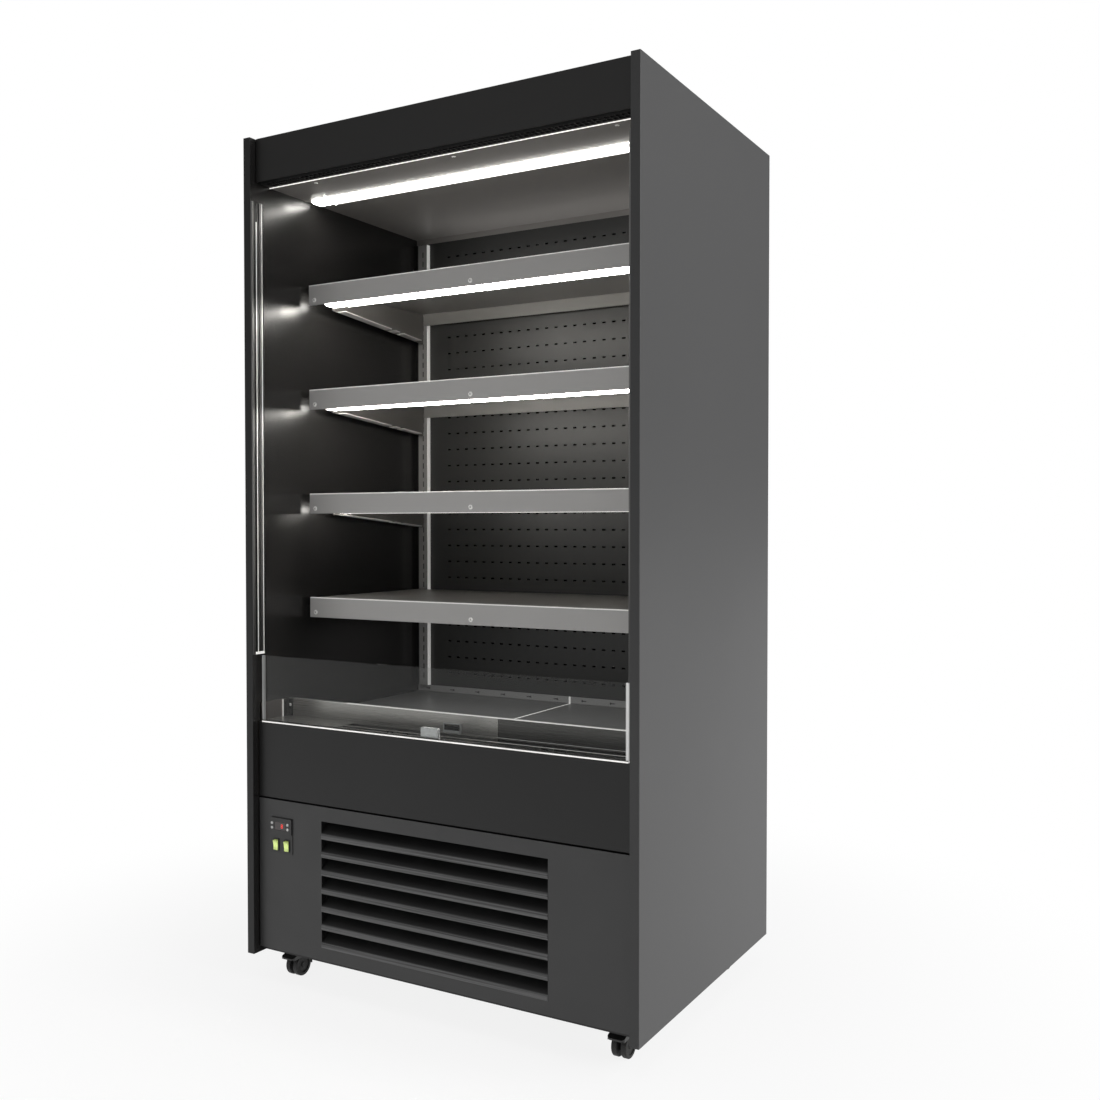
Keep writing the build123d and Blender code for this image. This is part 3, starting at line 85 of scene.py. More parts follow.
FOOT_HIGHLIGHT = 0.0014      # half of the painted highlight along the riser's foot
PLATE_DROP = 0.040      # from the riser's top to just over the slotted plate
LENS_LEAST = 0.0415     # a solid of the lamps that is at least this deep is a lens
LENS_DEEP = 0.008       # a lens thicker than this hangs under the ceiling
HANGER = 0.0293         # from such a lamp's channel to the ceiling
DIODE_PITCH = 0.0125    # spacing of a lamp's diodes
HOLE_PITCH = 0.006      # spacing of the holes in the blind's cloth
THREAD_PITCH = 0.0008   # spacing of its threads

# The photo's camera, fitted to the cabinet's corners
CAMERA_PLACE = (1.43096, -2.31598, 1.05476)
CAMERA_YAW = math.radians(-29.866)
CAMERA_PITCH = math.radians(-1.247)
CAMERA_LENS = 37.89
SENSOR = 36.0

# Name, setting of its power, place, point it shines at, width, height, seen in reflections
STUDIO_LAMPS = (
    ("key", "key", (4.2, 0.4, 2.4), (0.5, 0.0, 1.0), 3.0, 3.0, True),
    ("front", "fill", (-1.2, -4.2, 2.6), (0.0, 0.0, 1.0), 3.0, 2.5, True),
    ("overhead", "overhead", (0.3, -0.6, 4.6), (0.0, 0.0, 0.0), 3.0, 3.0, True),
    ("low_front", "low", (-0.4, -2.2, 0.18), (0.0, 0.0, 0.75), 2.6, 0.3, False),
    ("ceiling_wash", "wash", (0.05, 0.20, 1.68), (0.05, 0.23, 2.0), 0.8, 0.10, False),
    ("deck_light", "deck", (0.0, -0.02, 0.83), (0.0, 0.02, 0.0), 0.8, 0.3, False),
)


# ---------------------------------------------------------------- settings
def length(label, words, default):
    return FloatProperty(name=label, description=words, default=default, unit="LENGTH", precision=4)


def paint(label, words, default):
    return FloatVectorProperty(name=label, description=words, default=default, subtype="COLOR", size=3,
                               min=0.0, max=1.0)


def power(label, words, default):
    return FloatProperty(name=label, description=words, default=default, unit="POWER")


def share(label, words, default):
    return FloatProperty(name=label, description=words, default=default, min=0.0, max=1.0, subtype="FACTOR")


class FridgeColours(bpy.types.PropertyGroup):
    """Paints and finishes, as linear colours."""
    side: paint("Side panels", "Powder coat of the outer side panels", (0.064, 0.064, 0.0645))
    canopy: paint("Canopy", "Powder coat of the canopy", (0.0125, 0.0120, 0.0116))
    front: paint("Upper front panel", "Powder coat of the panel under the glass", (0.0082, 0.0081, 0.0080))
    lower: paint("Grille panel", "Powder coat of the louvred panel", (0.028, 0.028, 0.0282))
    liner: paint("Liners", "Gloss paint of the inner walls", (0.0155, 0.0149, 0.0145))
    back: paint("Back panel", "Paint of the perforated back", (0.030, 0.030, 0.029))
    ceiling: paint("Ceiling", "Paint of the ceiling panel", (0.200, 0.190, 0.180))
    edge: paint("Bright edges", "Edges that catch the lamps", (0.80, 0.79, 0.77))
    shelf: paint("Shelf fascias", "Powder coat of the shelf fascias", (0.45, 0.442, 0.432))
    tray: paint("Shelf trays", "Powder coat of the shelf trays", (0.19, 0.184, 0.176))
    bracket: paint("Brackets", "Powder coat of the brackets", (0.115, 0.110, 0.104))
    upright: paint("Uprights", "Powder coat of the slotted uprights", (0.25, 0.246, 0.24))
    deck: paint("Deck", "Paint of the deck panels", (0.085, 0.084, 0.083))
    lamp: paint("Lamp light", "Colour of the lit lenses", (1.0, 0.975, 0.92))
    cloth: paint("Blind cloth", "Coated cloth of the night blind", (0.42, 0.43, 0.44))
    rocker: paint("Rockers", "Lit rocker switches", (0.60, 0.74, 0.22))


class FridgeSizes(bpy.types.PropertyGroup):
    """Sizes of the pieces that are modelled here."""
    riser_joint: length("Riser joint", "Where the riser's lighter sheet ends", 0.113)
    bead: length("Ceiling bead", "Radius of the bead on the ceiling's front edge", 0.0011)
    lens_width: length("Lens width", "Width of a lamp's opal lens", 0.042)
    guide_rib: length("Guide rib", "Width of the blind guide's front rib", 0.0062)
    guide_groove: length("Guide groove", "Width of the dark groove behind the rib", 0.0068)
    guide_line: length("Guide line", "Width of the guide's bright arrises and narrow groove", 0.0030)
    guide_outer: length("Guide depth", "Depth over which the guide is bare metal", 0.0340)
    guide_mouth: length("Guide mouth", "Height of the open mouth at the guide's top", 0.045)
    glass_end: length("Glass end", "Width of the bright band at each end of the glass", 0.0055)
    rail_line: length("Rail line", "Height of the rail's bright lower line", 0.0029)
    ledge: length("Riser ledge", "How far the ledge under the deck reaches behind the riser's face", 0.022)
    crest_start: length("Crest start", "Where the riser's bent edge starts to shine, from the middle", -0.30)
    slot_bar: length("Slot bar", "From the grille's front edge to the bright bar between its slots", 0.043)
    riser_foot: length("Riser foot", "From the grille's front edge to the riser's bright foot", 0.088)
    cheek: length("Cheek sheet", "Sheet of the riser's cheeks", 0.0012)
    bracket_plate: length("End bracket plate", "Thickness of the riser's end brackets", 0.003)
    bracket_leg: length("End bracket leg", "Their leg along the cheek", 0.021)
    bracket_foot: length("End bracket foot", "Their leg along the riser", 0.014)
    seal_setback: length("Seal setback", "From the louvres' lips to the back of the panels' seal", 0.0130)
    socket: length("Lamp socket", "How far a lamp's socket reaches past its lens", 0.044)
    socket_gap: length("Socket gap", "Gap between a lamp's lens and its socket", 0.008)
    fin_pitch: length("Fin pitch", "Spacing of the condenser's fins", 0.0032)
    cross: length("Screw cross", "Width of the cross recess in a screw head", 0.0048)
    segment: length("Display digit", "Height of a digit on the display", 0.0082)


class FridgeStudio(bpy.types.PropertyGroup):
    """Light of the studio."""
    ambient: share("Ambient", "Strength of the room's even light", 0.26)
    key: power("Key lamp", "Power of the large lamp on the right", 150.0)
    low: power("Low lamp", "Power of the long low lamp in front", 7.0)
    wash: power("Ceiling wash", "Power of the soft light on the ceiling", 0.55)
    fill: power("Front lamp", "Power of the soft lamp in front", 10.0)
    overhead: power("Overhead lamp", "Power of the lamp above", 40.0)
    deck: power("Deck light", "Power of the soft light over the deck", 1.6)
    lens_glow: FloatProperty(name="Lens glow", description="Brightness of the lit lenses", default=22.0)


def colours():
    return bpy.context.scene.fridge_colours


def sizes():
    return bpy.context.scene.fridge_sizes


def studio():
    return bpy.context.scene.fridge_studio


# ---------------------------------------------------------------- shader expressions
class Value:
    """A socket of a shader; Python operators on it add the Math nodes."""

    def __init__(self, shader, socket):
        self.shader = shader
        self.socket = socket

    def sum(self, operation, *others):
        settings = {"operation": operation}
        return self.shader.add("ShaderNodeMath", settings, dict(enumerate((self,) + others)))

    def __add__(self, other):
        return self.sum("ADD", other)

    __radd__ = __add__

    def __mul__(self, other):
        return self.sum("MULTIPLY", other)

    __rmul__ = __mul__

    def __sub__(self, other):
        return self.sum("SUBTRACT", other)

    def __rsub__(self, other):
        return self.shader.add("ShaderNodeMath", {"operation": "SUBTRACT"}, {0: other, 1: self})

    def __pow__(self, other):
        return self.sum("POWER", other)

    def __gt__(self, other):
        return self.sum("GREATER_THAN", other)

    def __lt__(self, other):
        return self.sum("LESS_THAN", other)

    def __abs__(self):
        return self.sum("ABSOLUTE")

    def wave(self, pitch):
        """Sine wave of a given length."""
        return (self * (2.0 * math.pi / pitch)).sum("SINE")

    def least(self):
        """The value, but no more than 1."""
        return self.sum("MINIMUM", 1.0)

    def ramp(self, low, high, out_low=0.0, out_high=1.0):
        """Smooth change from out_low to out_high while the value goes from low to high."""
        inputs = {"Value": self, "From Min": low, "From Max": high, "To Min": out_low, "To Max": out_high}
        return self.shader.add("ShaderNodeMapRange", {"interpolation_type": "SMOOTHSTEP"}, inputs)


class Shader:
    """A material, or the world, and its nodes."""

    def __init__(self, name, kind="Material"):
        blocks = bpy.data.worlds if kind == "World" else bpy.data.materials
        self.block = blocks.new(name)
        self.block.use_nodes = True
        self.tree = self.block.node_tree
        self.tree.nodes.clear()
        self.output = self.tree.nodes.new("ShaderNodeOutput" + kind)

    def add(self, kind, settings=None, inputs=None, output=0):
        """Adds a node: its settings first, then its sockets' values or links; returns one output."""
        node = self.tree.nodes.new(kind)
        for key, value in (settings or {}).items():
            setattr(node, key, value)
        for key, value in (inputs or {}).items():
            if isinstance(value, Value):
                self.tree.links.new(value.socket, node.inputs[key])
            elif hasattr(value, "__len__") and len(value) == 3 and len(node.inputs[key].default_value) == 4:
                node.inputs[key].default_value = (*value, 1.0)
            else:
                node.inputs[key].default_value = value
        return Value(self, node.outputs[output])

    def place(self):
        """Position on the object, in metres."""
        return self.add("ShaderNodeTexCoord", output="Object")

    def axes(self):
        """The position's three parts."""
        node = self.add("ShaderNodeSeparateXYZ", {}, {0: self.place()})
        return [Value(self, node.socket.node.outputs[i]) for i in range(3)]

    def noise(self, scale, detail=3.0, roughness=0.5, stretch=None):
        """Clouds of noise; stretch multiplies the position first."""
        place = self.place()
        if stretch:
            place = self.add("ShaderNodeVectorMath", {"operation": "MULTIPLY"}, {0: place, 1: stretch})
        inputs = {"Vector": place, "Scale": scale, "Detail": detail, "Roughness": roughness}
        return self.add("ShaderNodeTexNoise", {}, inputs, "Fac")

    def cells(self, scale, output=0):
        """Cells of a Voronoi diagram."""
        inputs = {"Vector": self.place(), "Scale": scale}
        return self.add("ShaderNodeTexVoronoi", {"feature": "F1"}, inputs, output)

    def mix(self, factor, first, second):
        """Blends two colours."""
        node = self.add("ShaderNodeMix", {"data_type": "RGBA"}, {0: factor})
        sockets = node.socket.node.inputs
        for socket, value in ((sockets[6], first), (sockets[7], second)):
            if isinstance(value, Value):
                self.tree.links.new(value.socket, socket)
            else:
                socket.default_value = (*value, 1.0)
        return Value(self, node.socket.node.outputs[2])

    def bump(self, height, distance, strength):
        return self.add("ShaderNodeBump", {}, {"Strength": strength, "Distance": distance, "Height": height})

    def surface(self, **inputs):
        """Principled surface; keyword names stand for socket names, with _ for a space."""
        named = {key.replace("_", " "): value for key, value in inputs.items()}
        return self.show(self.add("ShaderNodeBsdfPrincipled", {}, named))

    def blend(self, factor, first, second):
        """Blends two surfaces."""
        return self.add("ShaderNodeMixShader", {}, {0: factor, 1: first, 2: second})

    def show(self, surface):
        """Makes a surface the one that is seen; returns the material."""
        self.tree.links.new(surface.socket, self.output.inputs["Surface"])
        return self.block

    def ray(self, kind):
        """1 on rays of one kind."""
        return self.add("ShaderNodeLightPath", output=f"Is {kind} Ray")

    def tinted(self, field, colour, low, high):
        """A colour that a field makes darker and lighter."""
        return self.mix(field, shade(colour, low), shade(colour, high))

    def lit(self, mask, colour):
        """Black, with a colour where the mask is 1."""
        return self.mix(mask, BLACK, colour)

    def peel(self):
        """Fine orange peel of sprayed paint."""
        return self.bump(self.noise(700.0, 2.0), 0.00005, 0.6)

    def coarse_peel(self):
        """Orange peel of powder coat."""
        height = self.noise(420.0, 2.0) * 0.7 + self.noise(1500.0, 1.0) * 0.3
        return self.bump(height, 0.00006, 0.7)

    def brushing(self, stretch=(3.0, 900.0, 900.0)):
        """Fine lines along one axis."""
        return self.noise(1.0, 4.0, 0.7, stretch)


def shade(colour, factor):
    return tuple(min(1.0, part * factor) for part in colour)


# ---------------------------------------------------------------- finishes
def powder_coat(name, colour, roughness=0.42):
    """Baked powder coat: fine orange peel, faint mottling and a few dull smears."""
    shader = Shader(name)
    cloud = shader.noise(1.4, 2.0)
    speck = shader.noise(900.0, 2.0)
    smear = shader.noise(3.0, 3.0, 0.5, (1.0, 1.0, 0.4))
    tone = cloud.ramp(0.3, 0.7) * 0.6 + speck * 0.4
    return shader.surface(
        Base_Color=shader.tinted(tone, colour, 0.97, 1.03),
        Roughness=smear.ramp(0.35, 0.75, roughness - 0.015, roughness + 0.025),
        Specular_IOR_Level=0.35,
        Normal=shader.coarse_peel(),
    )


def side_paint(name, colour):
    """Powder coat of the side panels; their front edges carry painted shade, darkest on the left one."""
    shader = Shader(name)
    x, y = shader.axes()[:2]
    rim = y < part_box("side_panel_left")[0].y + SHADED_RIM_EDGE
    tone = (x > 0.0).ramp(0.0, 1.0, 0.16, 0.62)
    cloud = shader.noise(1.4, 2.0).ramp(0.3, 0.7)
    speck = shader.noise(900.0, 2.0)
    plain = shader.tinted(cloud * 0.6 + speck * 0.4, colour, 0.97, 1.03)
    # painted shade on the front rims: the side colour scaled down, most on the left panel
    dark = shader.lit(tone, colour)
    return shader.surface(
        Base_Color=shader.mix(rim, plain, dark),
        Roughness=cloud.ramp(0.0, 1.0, 0.405, 0.445),
        Specular_IOR_Level=0.35,
        Normal=shader.coarse_peel(),
    )


def edged_paint(name, colour, edge):
    """Powder coat with a painted highlight, a bright glowing line, along each fascia's upper edge."""
    shader = Shader(name)
    height = shader.axes()[2]
    # painted highlight: a band at the top of each fascia gets the bright edge colour, less roughness and a
    # glow
    up = height * 0.0
    for _, high in islands("shelf_fronts"):
        up = up + (height > high.z - FASCIA_HIGHLIGHT) * (height < high.z + 0.001)
    cloud = shader.noise(2.0, 3.0)
    plain = shader.tinted(cloud, colour, 0.96, 1.04)
    return shader.surface(
        Base_Color=shader.mix(up, plain, edge),
        Roughness=up.ramp(0.0, 1.0, 0.4, 0.25),
        Emission_Color=shader.lit(up, edge),
        Emission_Strength=0.22,
        Normal=shader.peel(),
    )


def bracket_paint(name, colour, lip):
    """Dark blade with a folded lip along its lower edge, drawn brighter as painted light."""
    shader = Shader(name)
    x = shader.axes()[0]
    # painted light: the folded lip, away from the wall, gets a lighter copy of the fascia paint
    inside = 1.0 - (abs(x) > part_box("shelf_brackets")[1].x - BLADE)
    cloud = shader.noise(9.0, 3.0)
    plain = shader.tinted(cloud, colour, 0.93, 1.07)
    return shader.surface(
        Base_Color=shader.mix(inside, plain, lip),
        Roughness=cloud.ramp(0.3, 0.7, 0.36, 0.44),
        Normal=shader.peel(),
    )


def slat_paint(name, colour):
    """Powder coat of the grille: streaks of painted highlight on the rolled lips, and painted shade on the
    blades behind the face, mottled in clouds.
    """
    shader = Shader(name)
    y, z = shader.axes()[1:]
    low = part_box("grille_panel")[0]
    face = low.y + LIP_REACH
    # painted shade: the blades behind the face are drawn at a quarter to a third of the paint's colour
    behind = (y > face + FACE_SHEET) * (z > low.z + FACE_HEM)
    streaks = shader.noise(1.0, 3.0, stretch=(3.0, 1.0, 420.0)).ramp(0.3, 0.62)
    # painted highlight: bright streaks on the front of the lips
    rolled = (y < face - 0.0002) * streaks
    dust = shader.noise(14.0, 4.0, 0.6)
    plain = shader.mix(rolled, shader.tinted(dust, colour, 0.97, 1.03), shade(colour, 3.6))
    return shader.surface(
        Base_Color=shader.mix(behind, plain, shader.tinted(dust, colour, 0.22, 0.34)),
        Roughness=dust.ramp(0.3, 0.7, 0.38, 0.46),
        Normal=shader.peel(),
    )


def guide_metal(name, colour, edge):
    """Anodised guide: ribs and grooves side by side, open at the top. Painted shade darkens the grooves, the
    open mouth and the metal towards the foot; glowing painted highlights mark the arrises and the cap at its
    foot.
    """
    shader = Shader(name)
    y, z = shader.axes()[1:]
    low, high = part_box("blind_guides")
    kit = sizes()
    depth = y - low.y

    def band(start, end):
        return (depth > start) * (depth < end)

    groove_end = kit.guide_rib + kit.guide_groove
    line_end = groove_end + kit.guide_line
    grooves = band(kit.guide_rib, groove_end) + band(line_end, line_end + kit.guide_line)
    beyond = depth > kit.guide_outer
    mouth = (z > high.z - kit.guide_mouth) * band(kit.guide_rib, line_end)
    # painted shade: the grooves and the open mouth are drawn near black, and so is the part past the bare
    # depth
    dark = (grooves + beyond + mouth).least()
    # painted highlights along the arrises, with a glow
    arrises = band(groove_end, line_end) + band(kit.guide_outer - kit.guide_line, kit.guide_outer)
    arrises = arrises * (1.0 - mouth)
    # painted shade: the metal darkens towards the foot
    foot_shade = z.ramp(low.z, low.z + 0.35, 0.25, 1.0)
    # painted highlight: the cap at the foot is bright and glows
    cap = (z < low.z + GUIDE_CAP) * (depth > kit.guide_rib) * (1.0 - beyond)
    lines = shader.brushing((700.0, 700.0, 4.0))
    metal = shader.mix(foot_shade, shade(colour, 0.12), shader.tinted(lines, colour, 0.88, 1.1))
    metal = shader.mix(dark, metal, (0.006, 0.006, 0.006))
    return shader.surface(
        Base_Color=shader.mix((arrises * 0.9 + cap).least(), metal, edge),
        Metallic=0.4,
        Roughness=lines.ramp(0.3, 0.7, 0.32, 0.44),
        Emission_Color=shader.lit((arrises * 0.5 + cap).least(), edge),
        Emission_Strength=0.5,
        Normal=shader.bump(lines, 0.00003, 0.5),
    )


def upright_paint(name, colour, edge):
    """Powder coat of the slotted uprights, with a glowing painted highlight along their inner edges."""
    shader = Shader(name)
    x = shader.axes()[0]
    # painted highlight along the inner edge: the bright edge colour and a glow
    bare = abs(x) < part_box("shelf_uprights")[1].x - UPRIGHT_HIGHLIGHT
    cloud = shader.noise(6.0, 3.0)
    return shader.surface(
        Base_Color=shader.mix(bare, shader.tinted(cloud, colour, 0.95, 1.05), edge),
        Roughness=cloud.ramp(0.3, 0.7, 0.34, 0.42),
        Emission_Color=shader.lit(bare, edge),
        Emission_Strength=0.25,
        Normal=shader.peel(),
    )


def deck_paint(name, colour, edge):
    """Smooth powder coat of the deck panels, with a glowing painted highlight along the joint between them
    and painted light on the upstand's upper band.
    """
    shader = Shader(name)
    x, _, z = shader.axes()
    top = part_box("deck_panels")[1].z
    # painted highlight along the joint: the bright edge colour and a glow
    joint = (abs(x) < DECK_JOINT) * (z > top - DECK_DEPTH)
    # painted light: the upstand's upper band is drawn 2.6 times lighter than the deck
    upstand = (z > top - DECK_UPSTAND) * (abs(x) > DECK_JOINT)
    wear = shader.noise(6.0, 3.0, stretch=(1.0, 0.4, 1.0))
    plain = shader.tinted(wear, colour, 0.94, 1.06)
    return shader.surface(
        Base_Color=shader.mix(joint, shader.mix(upstand, plain, shade(colour, 2.6)), edge),
        Roughness=wear.ramp(0.3, 0.7, 0.30, 0.38),
        Emission_Color=shader.lit(joint, edge),
        Emission_Strength=0.35,
        Normal=shader.peel(),
    )


def zinc_plating(name, colour):
    """Zinc plating with a satin shine, a little white bloom and a faint painted glow of its own colour."""
    shader = Shader(name)
    bloom = shader.noise(260.0, 4.0, 0.6)
    return shader.surface(
        Base_Color=shader.tinted(bloom, colour, 0.85, 1.2),
        Metallic=0.15,
        Roughness=bloom.ramp(0.3, 0.7, 0.22, 0.36),
        # painted light: the plating glows faintly
        Emission_Color=colour,
        Emission_Strength=0.10,
        Normal=shader.bump(bloom, 0.00003, 0.5),
    )


def gloss_paint(name, colour, roughness=0.24):
    """Smooth stoved paint with wiping marks, and painted shade, near black, where only the back panel's slots
    show it.
    """
    shader = Shader(name)
    wipe = shader.noise(5.0, 2.0, 0.5, (1.0, 1.0, 2.0))
    fine = shader.noise(1200.0, 1.0)
    # painted shade: everything behind the back panel is drawn near black
    behind = shader.axes()[1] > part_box("duct_panel")[0].y
    plain = shader.tinted(wipe, colour, 0.97, 1.03)
    return shader.surface(
        Base_Color=shader.mix(behind, plain, SHADOW),
        Roughness=wipe * 0.03 + roughness,
        Normal=shader.bump(fine, 0.00002, 0.3),
    )


def brushed_metal(name, colour, along, roughness):
    """Metal with fine lines along one axis."""
    shader = Shader(name)
    lines = shader.brushing({"x": (3.0, 900.0, 900.0), "z": (900.0, 900.0, 3.0)}[along])
    cloud = shader.noise(5.0, 3.0)
    return shader.surface(
        Base_Color=shader.tinted(lines * 0.6 + cloud * 0.4, colour, 0.82, 1.12),
        Metallic=1.0,
        Roughness=lines.ramp(0.25, 0.75, roughness - 0.07, roughness + 0.10),
        Normal=shader.bump(lines, 0.00004, 0.6),
    )


def riser_steel(name, colour, edge):
    """Brushed sheet with glowing painted highlights on its bent edge, on the bars over its slotted plate and
    on the front edge of each end bracket; dim cheeks and dark end brackets.
    """
    shader = Shader(name)
    x, y, z = shader.axes()
    low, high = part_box("return_grille")
    out = abs(x)
    kit = sizes()
    face = high.y - kit.ledge
    wall = high.x - kit.cheek
    near = 0.0001
    crest_highlight = z.ramp(high.z - CREST, high.z - CREST / 2) * (out < wall - kit.bracket_foot)
    cheek = out > wall - near
    second = x > kit.riser_joint
    behind = (y < face - near) * (z < high.z - BRACKET_DROP)
    leg = (out > wall - kit.bracket_plate - near) * (out < wall + near) * behind
    leg = leg * (y > face - kit.bracket_leg - near)
    foot = (out > wall - kit.bracket_foot - near) * (out < wall) * behind
    foot = foot * (y > face - kit.bracket_plate - near)
    # painted highlight on the front edge of each end bracket's leg
    shine = leg * (y < face - kit.bracket_leg + 0.0013)
    # painted highlights on the bar between the return slots and along the riser's foot
    bars = (abs(y - low.y - kit.slot_bar) < BAR_HIGHLIGHT) + (abs(y - low.y - kit.riser_foot) < FOOT_HIGHLIGHT)
    bars = bars * second * (z < high.z - PLATE_DROP)
    # all these painted highlights also glow
    lit = (shine + crest_highlight * (x > kit.crest_start) + bars).least()
    lines = shader.brushing()
    cloud = shader.noise(5.0, 3.0)
    plain = shader.tinted(lines * 0.6 + cloud * 0.4, colour, 0.84, 1.12)
    plain = shader.mix(second, plain, shade(colour, 0.22))
    plain = shader.mix(cheek, plain, (0.17, 0.150, 0.142))
    plain = shader.mix((leg + foot).least(), plain, (0.022, 0.021, 0.020))
    return shader.surface(
        Base_Color=shader.mix((crest_highlight + lit).least(), plain, edge),
        Metallic=0.85,
        Roughness=lines.ramp(0.25, 0.75, 0.24, 0.36),
        Emission_Color=shader.lit(lit, edge),
        Emission_Strength=0.42,
        Normal=shader.bump(lines, 0.00004, 0.6),
    )


def galvanised(name, colour=(0.50, 0.51, 0.52)):
    """Zinc-coated sheet with its crystals."""
    shader = Shader(name)
    grey = shader.add("ShaderNodeRGBToBW", {}, {0: shader.cells(55.0, "Color")})
    dust = shader.noise(4.0, 4.0)
    return shader.surface(
        Base_Color=shader.tinted(grey * 0.7 + dust * 0.3, colour, 0.74, 1.12),
        Metallic=0.9,
        Roughness=grey.ramp(0.0, 1.0, 0.30, 0.50),
        Normal=shader.bump(grey, 0.00003, 0.5),
    )


def moulded(name, colour, roughness):
    """Injection-moulded plastic with a spark-eroded grain."""
    shader = Shader(name)
    pits = shader.noise(2600.0, 2.0)
    wear = shader.noise(30.0, 4.0)
    return shader.surface(
        Base_Color=shader.tinted(wear, colour, 0.86, 1.14),
        Roughness=wear.ramp(0.3, 0.8, roughness - 0.06, roughness + 0.08),
        Normal=shader.bump(pits, 0.00003, 0.8),
    )


def rubber_tread(name):
    """Black rubber, grey with dust where it has been trodden in."""
    shader = Shader(name)
    dust = shader.noise(60.0, 5.0, 0.65)
    return shader.surface(
        Base_Color=shader.mix(dust.ramp(0.5, 0.8), (0.012, 0.012, 0.012), (0.07, 0.066, 0.06)),
        Roughness=dust.ramp(0.3, 0.8, 0.55, 0.85),
        Normal=shader.bump(dust, 0.0002, 0.5),
    )


def foam_core(name):
    """Cut insulation foam with open cells."""
    shader = Shader(name)
    cells = shader.cells(700.0)
    return shader.surface(
        Base_Color=shader.tinted(cells, (0.70, 0.60, 0.38), 1.1, 0.8),
        Roughness=0.9,
        Normal=shader.bump(cells, 0.0004, 0.6),
    )


def guard_glass(name):
    """Clear float glass with a faint reflection over it, and ends painted as glowing bands of gathered light,
    the right end brighter.
    """
    shader = Shader(name)
    smudge = shader.noise(7.0, 4.0, 0.6)
    through = shader.add("ShaderNodeBsdfTransparent", {}, {"Color": (0.946, 0.951, 0.946)})
    shine = shader.add("ShaderNodeBsdfPrincipled", {}, {
        "Base Color": (0.92, 0.92, 0.91), "Metallic": 1.0, "Roughness": smudge.ramp(0.5, 0.85, 0.01, 0.05)})
    clear = shader.blend(shader.add("ShaderNodeFresnel", {}, {"IOR": 1.2}), through, shine)
    x = shader.axes()[0]
    # painted light: the ends glow, the right one three times as bright as the left
    tone = shader.mix(x > 0.0, (0.15, 0.15, 0.148), (0.45, 0.45, 0.445))
    gathered = shader.add("ShaderNodeBsdfPrincipled", {}, {
        "Base Color": tone, "Roughness": 0.3, "Emission Color": tone, "Emission Strength": 0.75})
    ends = (abs(x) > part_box("front_glass")[1].x - sizes().glass_end) * 0.8
    return shader.show(shader.blend(ends, clear, gathered))


def polished_edge(name):
    """Ground and polished rim of the glass, which gathers light."""
    shader = Shader(name)
    grind = shader.noise(700.0, 3.0)
    return shader.surface(
        Base_Color=shader.mix(grind, (0.66, 0.68, 0.67), (0.92, 0.93, 0.92)),
        Metallic=0.35,
        Roughness=grind.ramp(0.3, 0.7, 0.10, 0.28),
        Emission_Color=shader.mix(grind, (0.56, 0.58, 0.57), (0.86, 0.88, 0.87)),
        Emission_Strength=0.22,
    )


def clear_plastic(name):
    """Clear plastic of the clips; the recess of the one on the riser is drawn near black as painted shade."""
    shader = Shader(name)
    x, y, z = shader.axes()
    low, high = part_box("centre_clips")
    middle = (low.x + high.x) / 2
    wall, deep, head, foot = 0.0015, 0.008, 0.0045, 0.006
    inside = abs(x - middle) < (high.x - low.x) / 2 - wall
    # painted shade in the clip's recess
    shaded_recess = (y > high.y - deep) * inside * (z < high.z - head) * (z > low.z + foot)
    flow = shader.noise(80.0, 3.0)
    plain = shader.mix(flow, (0.70, 0.72, 0.73), (0.90, 0.91, 0.92))
    return shader.surface(
        Base_Color=shader.mix(shaded_recess, plain, (0.004, 0.004, 0.004)),
        Roughness=flow.ramp(0.3, 0.8, 0.06, 0.18),
        Transmission_Weight=0.35,
        IOR=1.49,
        Coat_Weight=0.4,
    )


def light_strip(name, colour, glow):
    """Clear plastic bead that glows with the light of the lamp beside it."""
    shader = Shader(name)
    flow = shader.noise(9.0, 3.0)
    return shader.surface(
        Base_Color=shader.mix(flow, (0.80, 0.80, 0.78), (0.90, 0.90, 0.88)),
        Roughness=flow.ramp(0.3, 0.7, 0.12, 0.2),
        Emission_Color=shader.tinted(flow.ramp(0.3, 0.7), colour, 0.7, 1.0),
        Emission_Strength=glow,
    )


def lit_rail(name, colour):
    """Rail of the glass guard: a bright lower line, a glowing painted highlight, under a dim lip."""
    shader = Shader(name)
    # painted highlight along the rail's lower edge
    line = shader.axes()[2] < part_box("glass_rail")[0].z + sizes().rail_line
    flow = shader.noise(9.0, 3.0)
    return shader.surface(
        Base_Color=shader.mix(line, (0.030, 0.030, 0.029), shader.tinted(flow, colour, 0.8, 0.9)),
        Roughness=flow.ramp(0.3, 0.7, 0.2, 0.3),
        Emission_Color=shader.lit(line, shader.tinted(flow.ramp(0.3, 0.7), colour, 0.7, 1.0)),
        Emission_Strength=0.5,
    )


def lit_lens(name, glow, core=1.0):
    """Opal lens: a bright core over the diodes, softer towards its sides when core is under 1."""
    shader = Shader(name)
    along, across = shader.axes()[:2]
    diodes = along.wave(DIODE_PITCH) * 0.03
    band = shader.noise(7.0, 1.0) * 0.04 + diodes + 0.95
    warm = colours().lamp
    if core < 1.0:
        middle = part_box("led_lights")[0].y + sizes().lens_width / 2
        reach = sizes().lens_width / 2 * core
        band = band * abs(across - middle).ramp(reach * 0.75, reach * 1.35, 1.0, 0.10)
    return shader.surface(
        Base_Color=shader.mix(band, (0.80, 0.80, 0.78), (0.92, 0.92, 0.9)),
        Roughness=0.35,
        Emission_Color=shader.lit(band, warm),
        Emission_Strength=glow,
    )


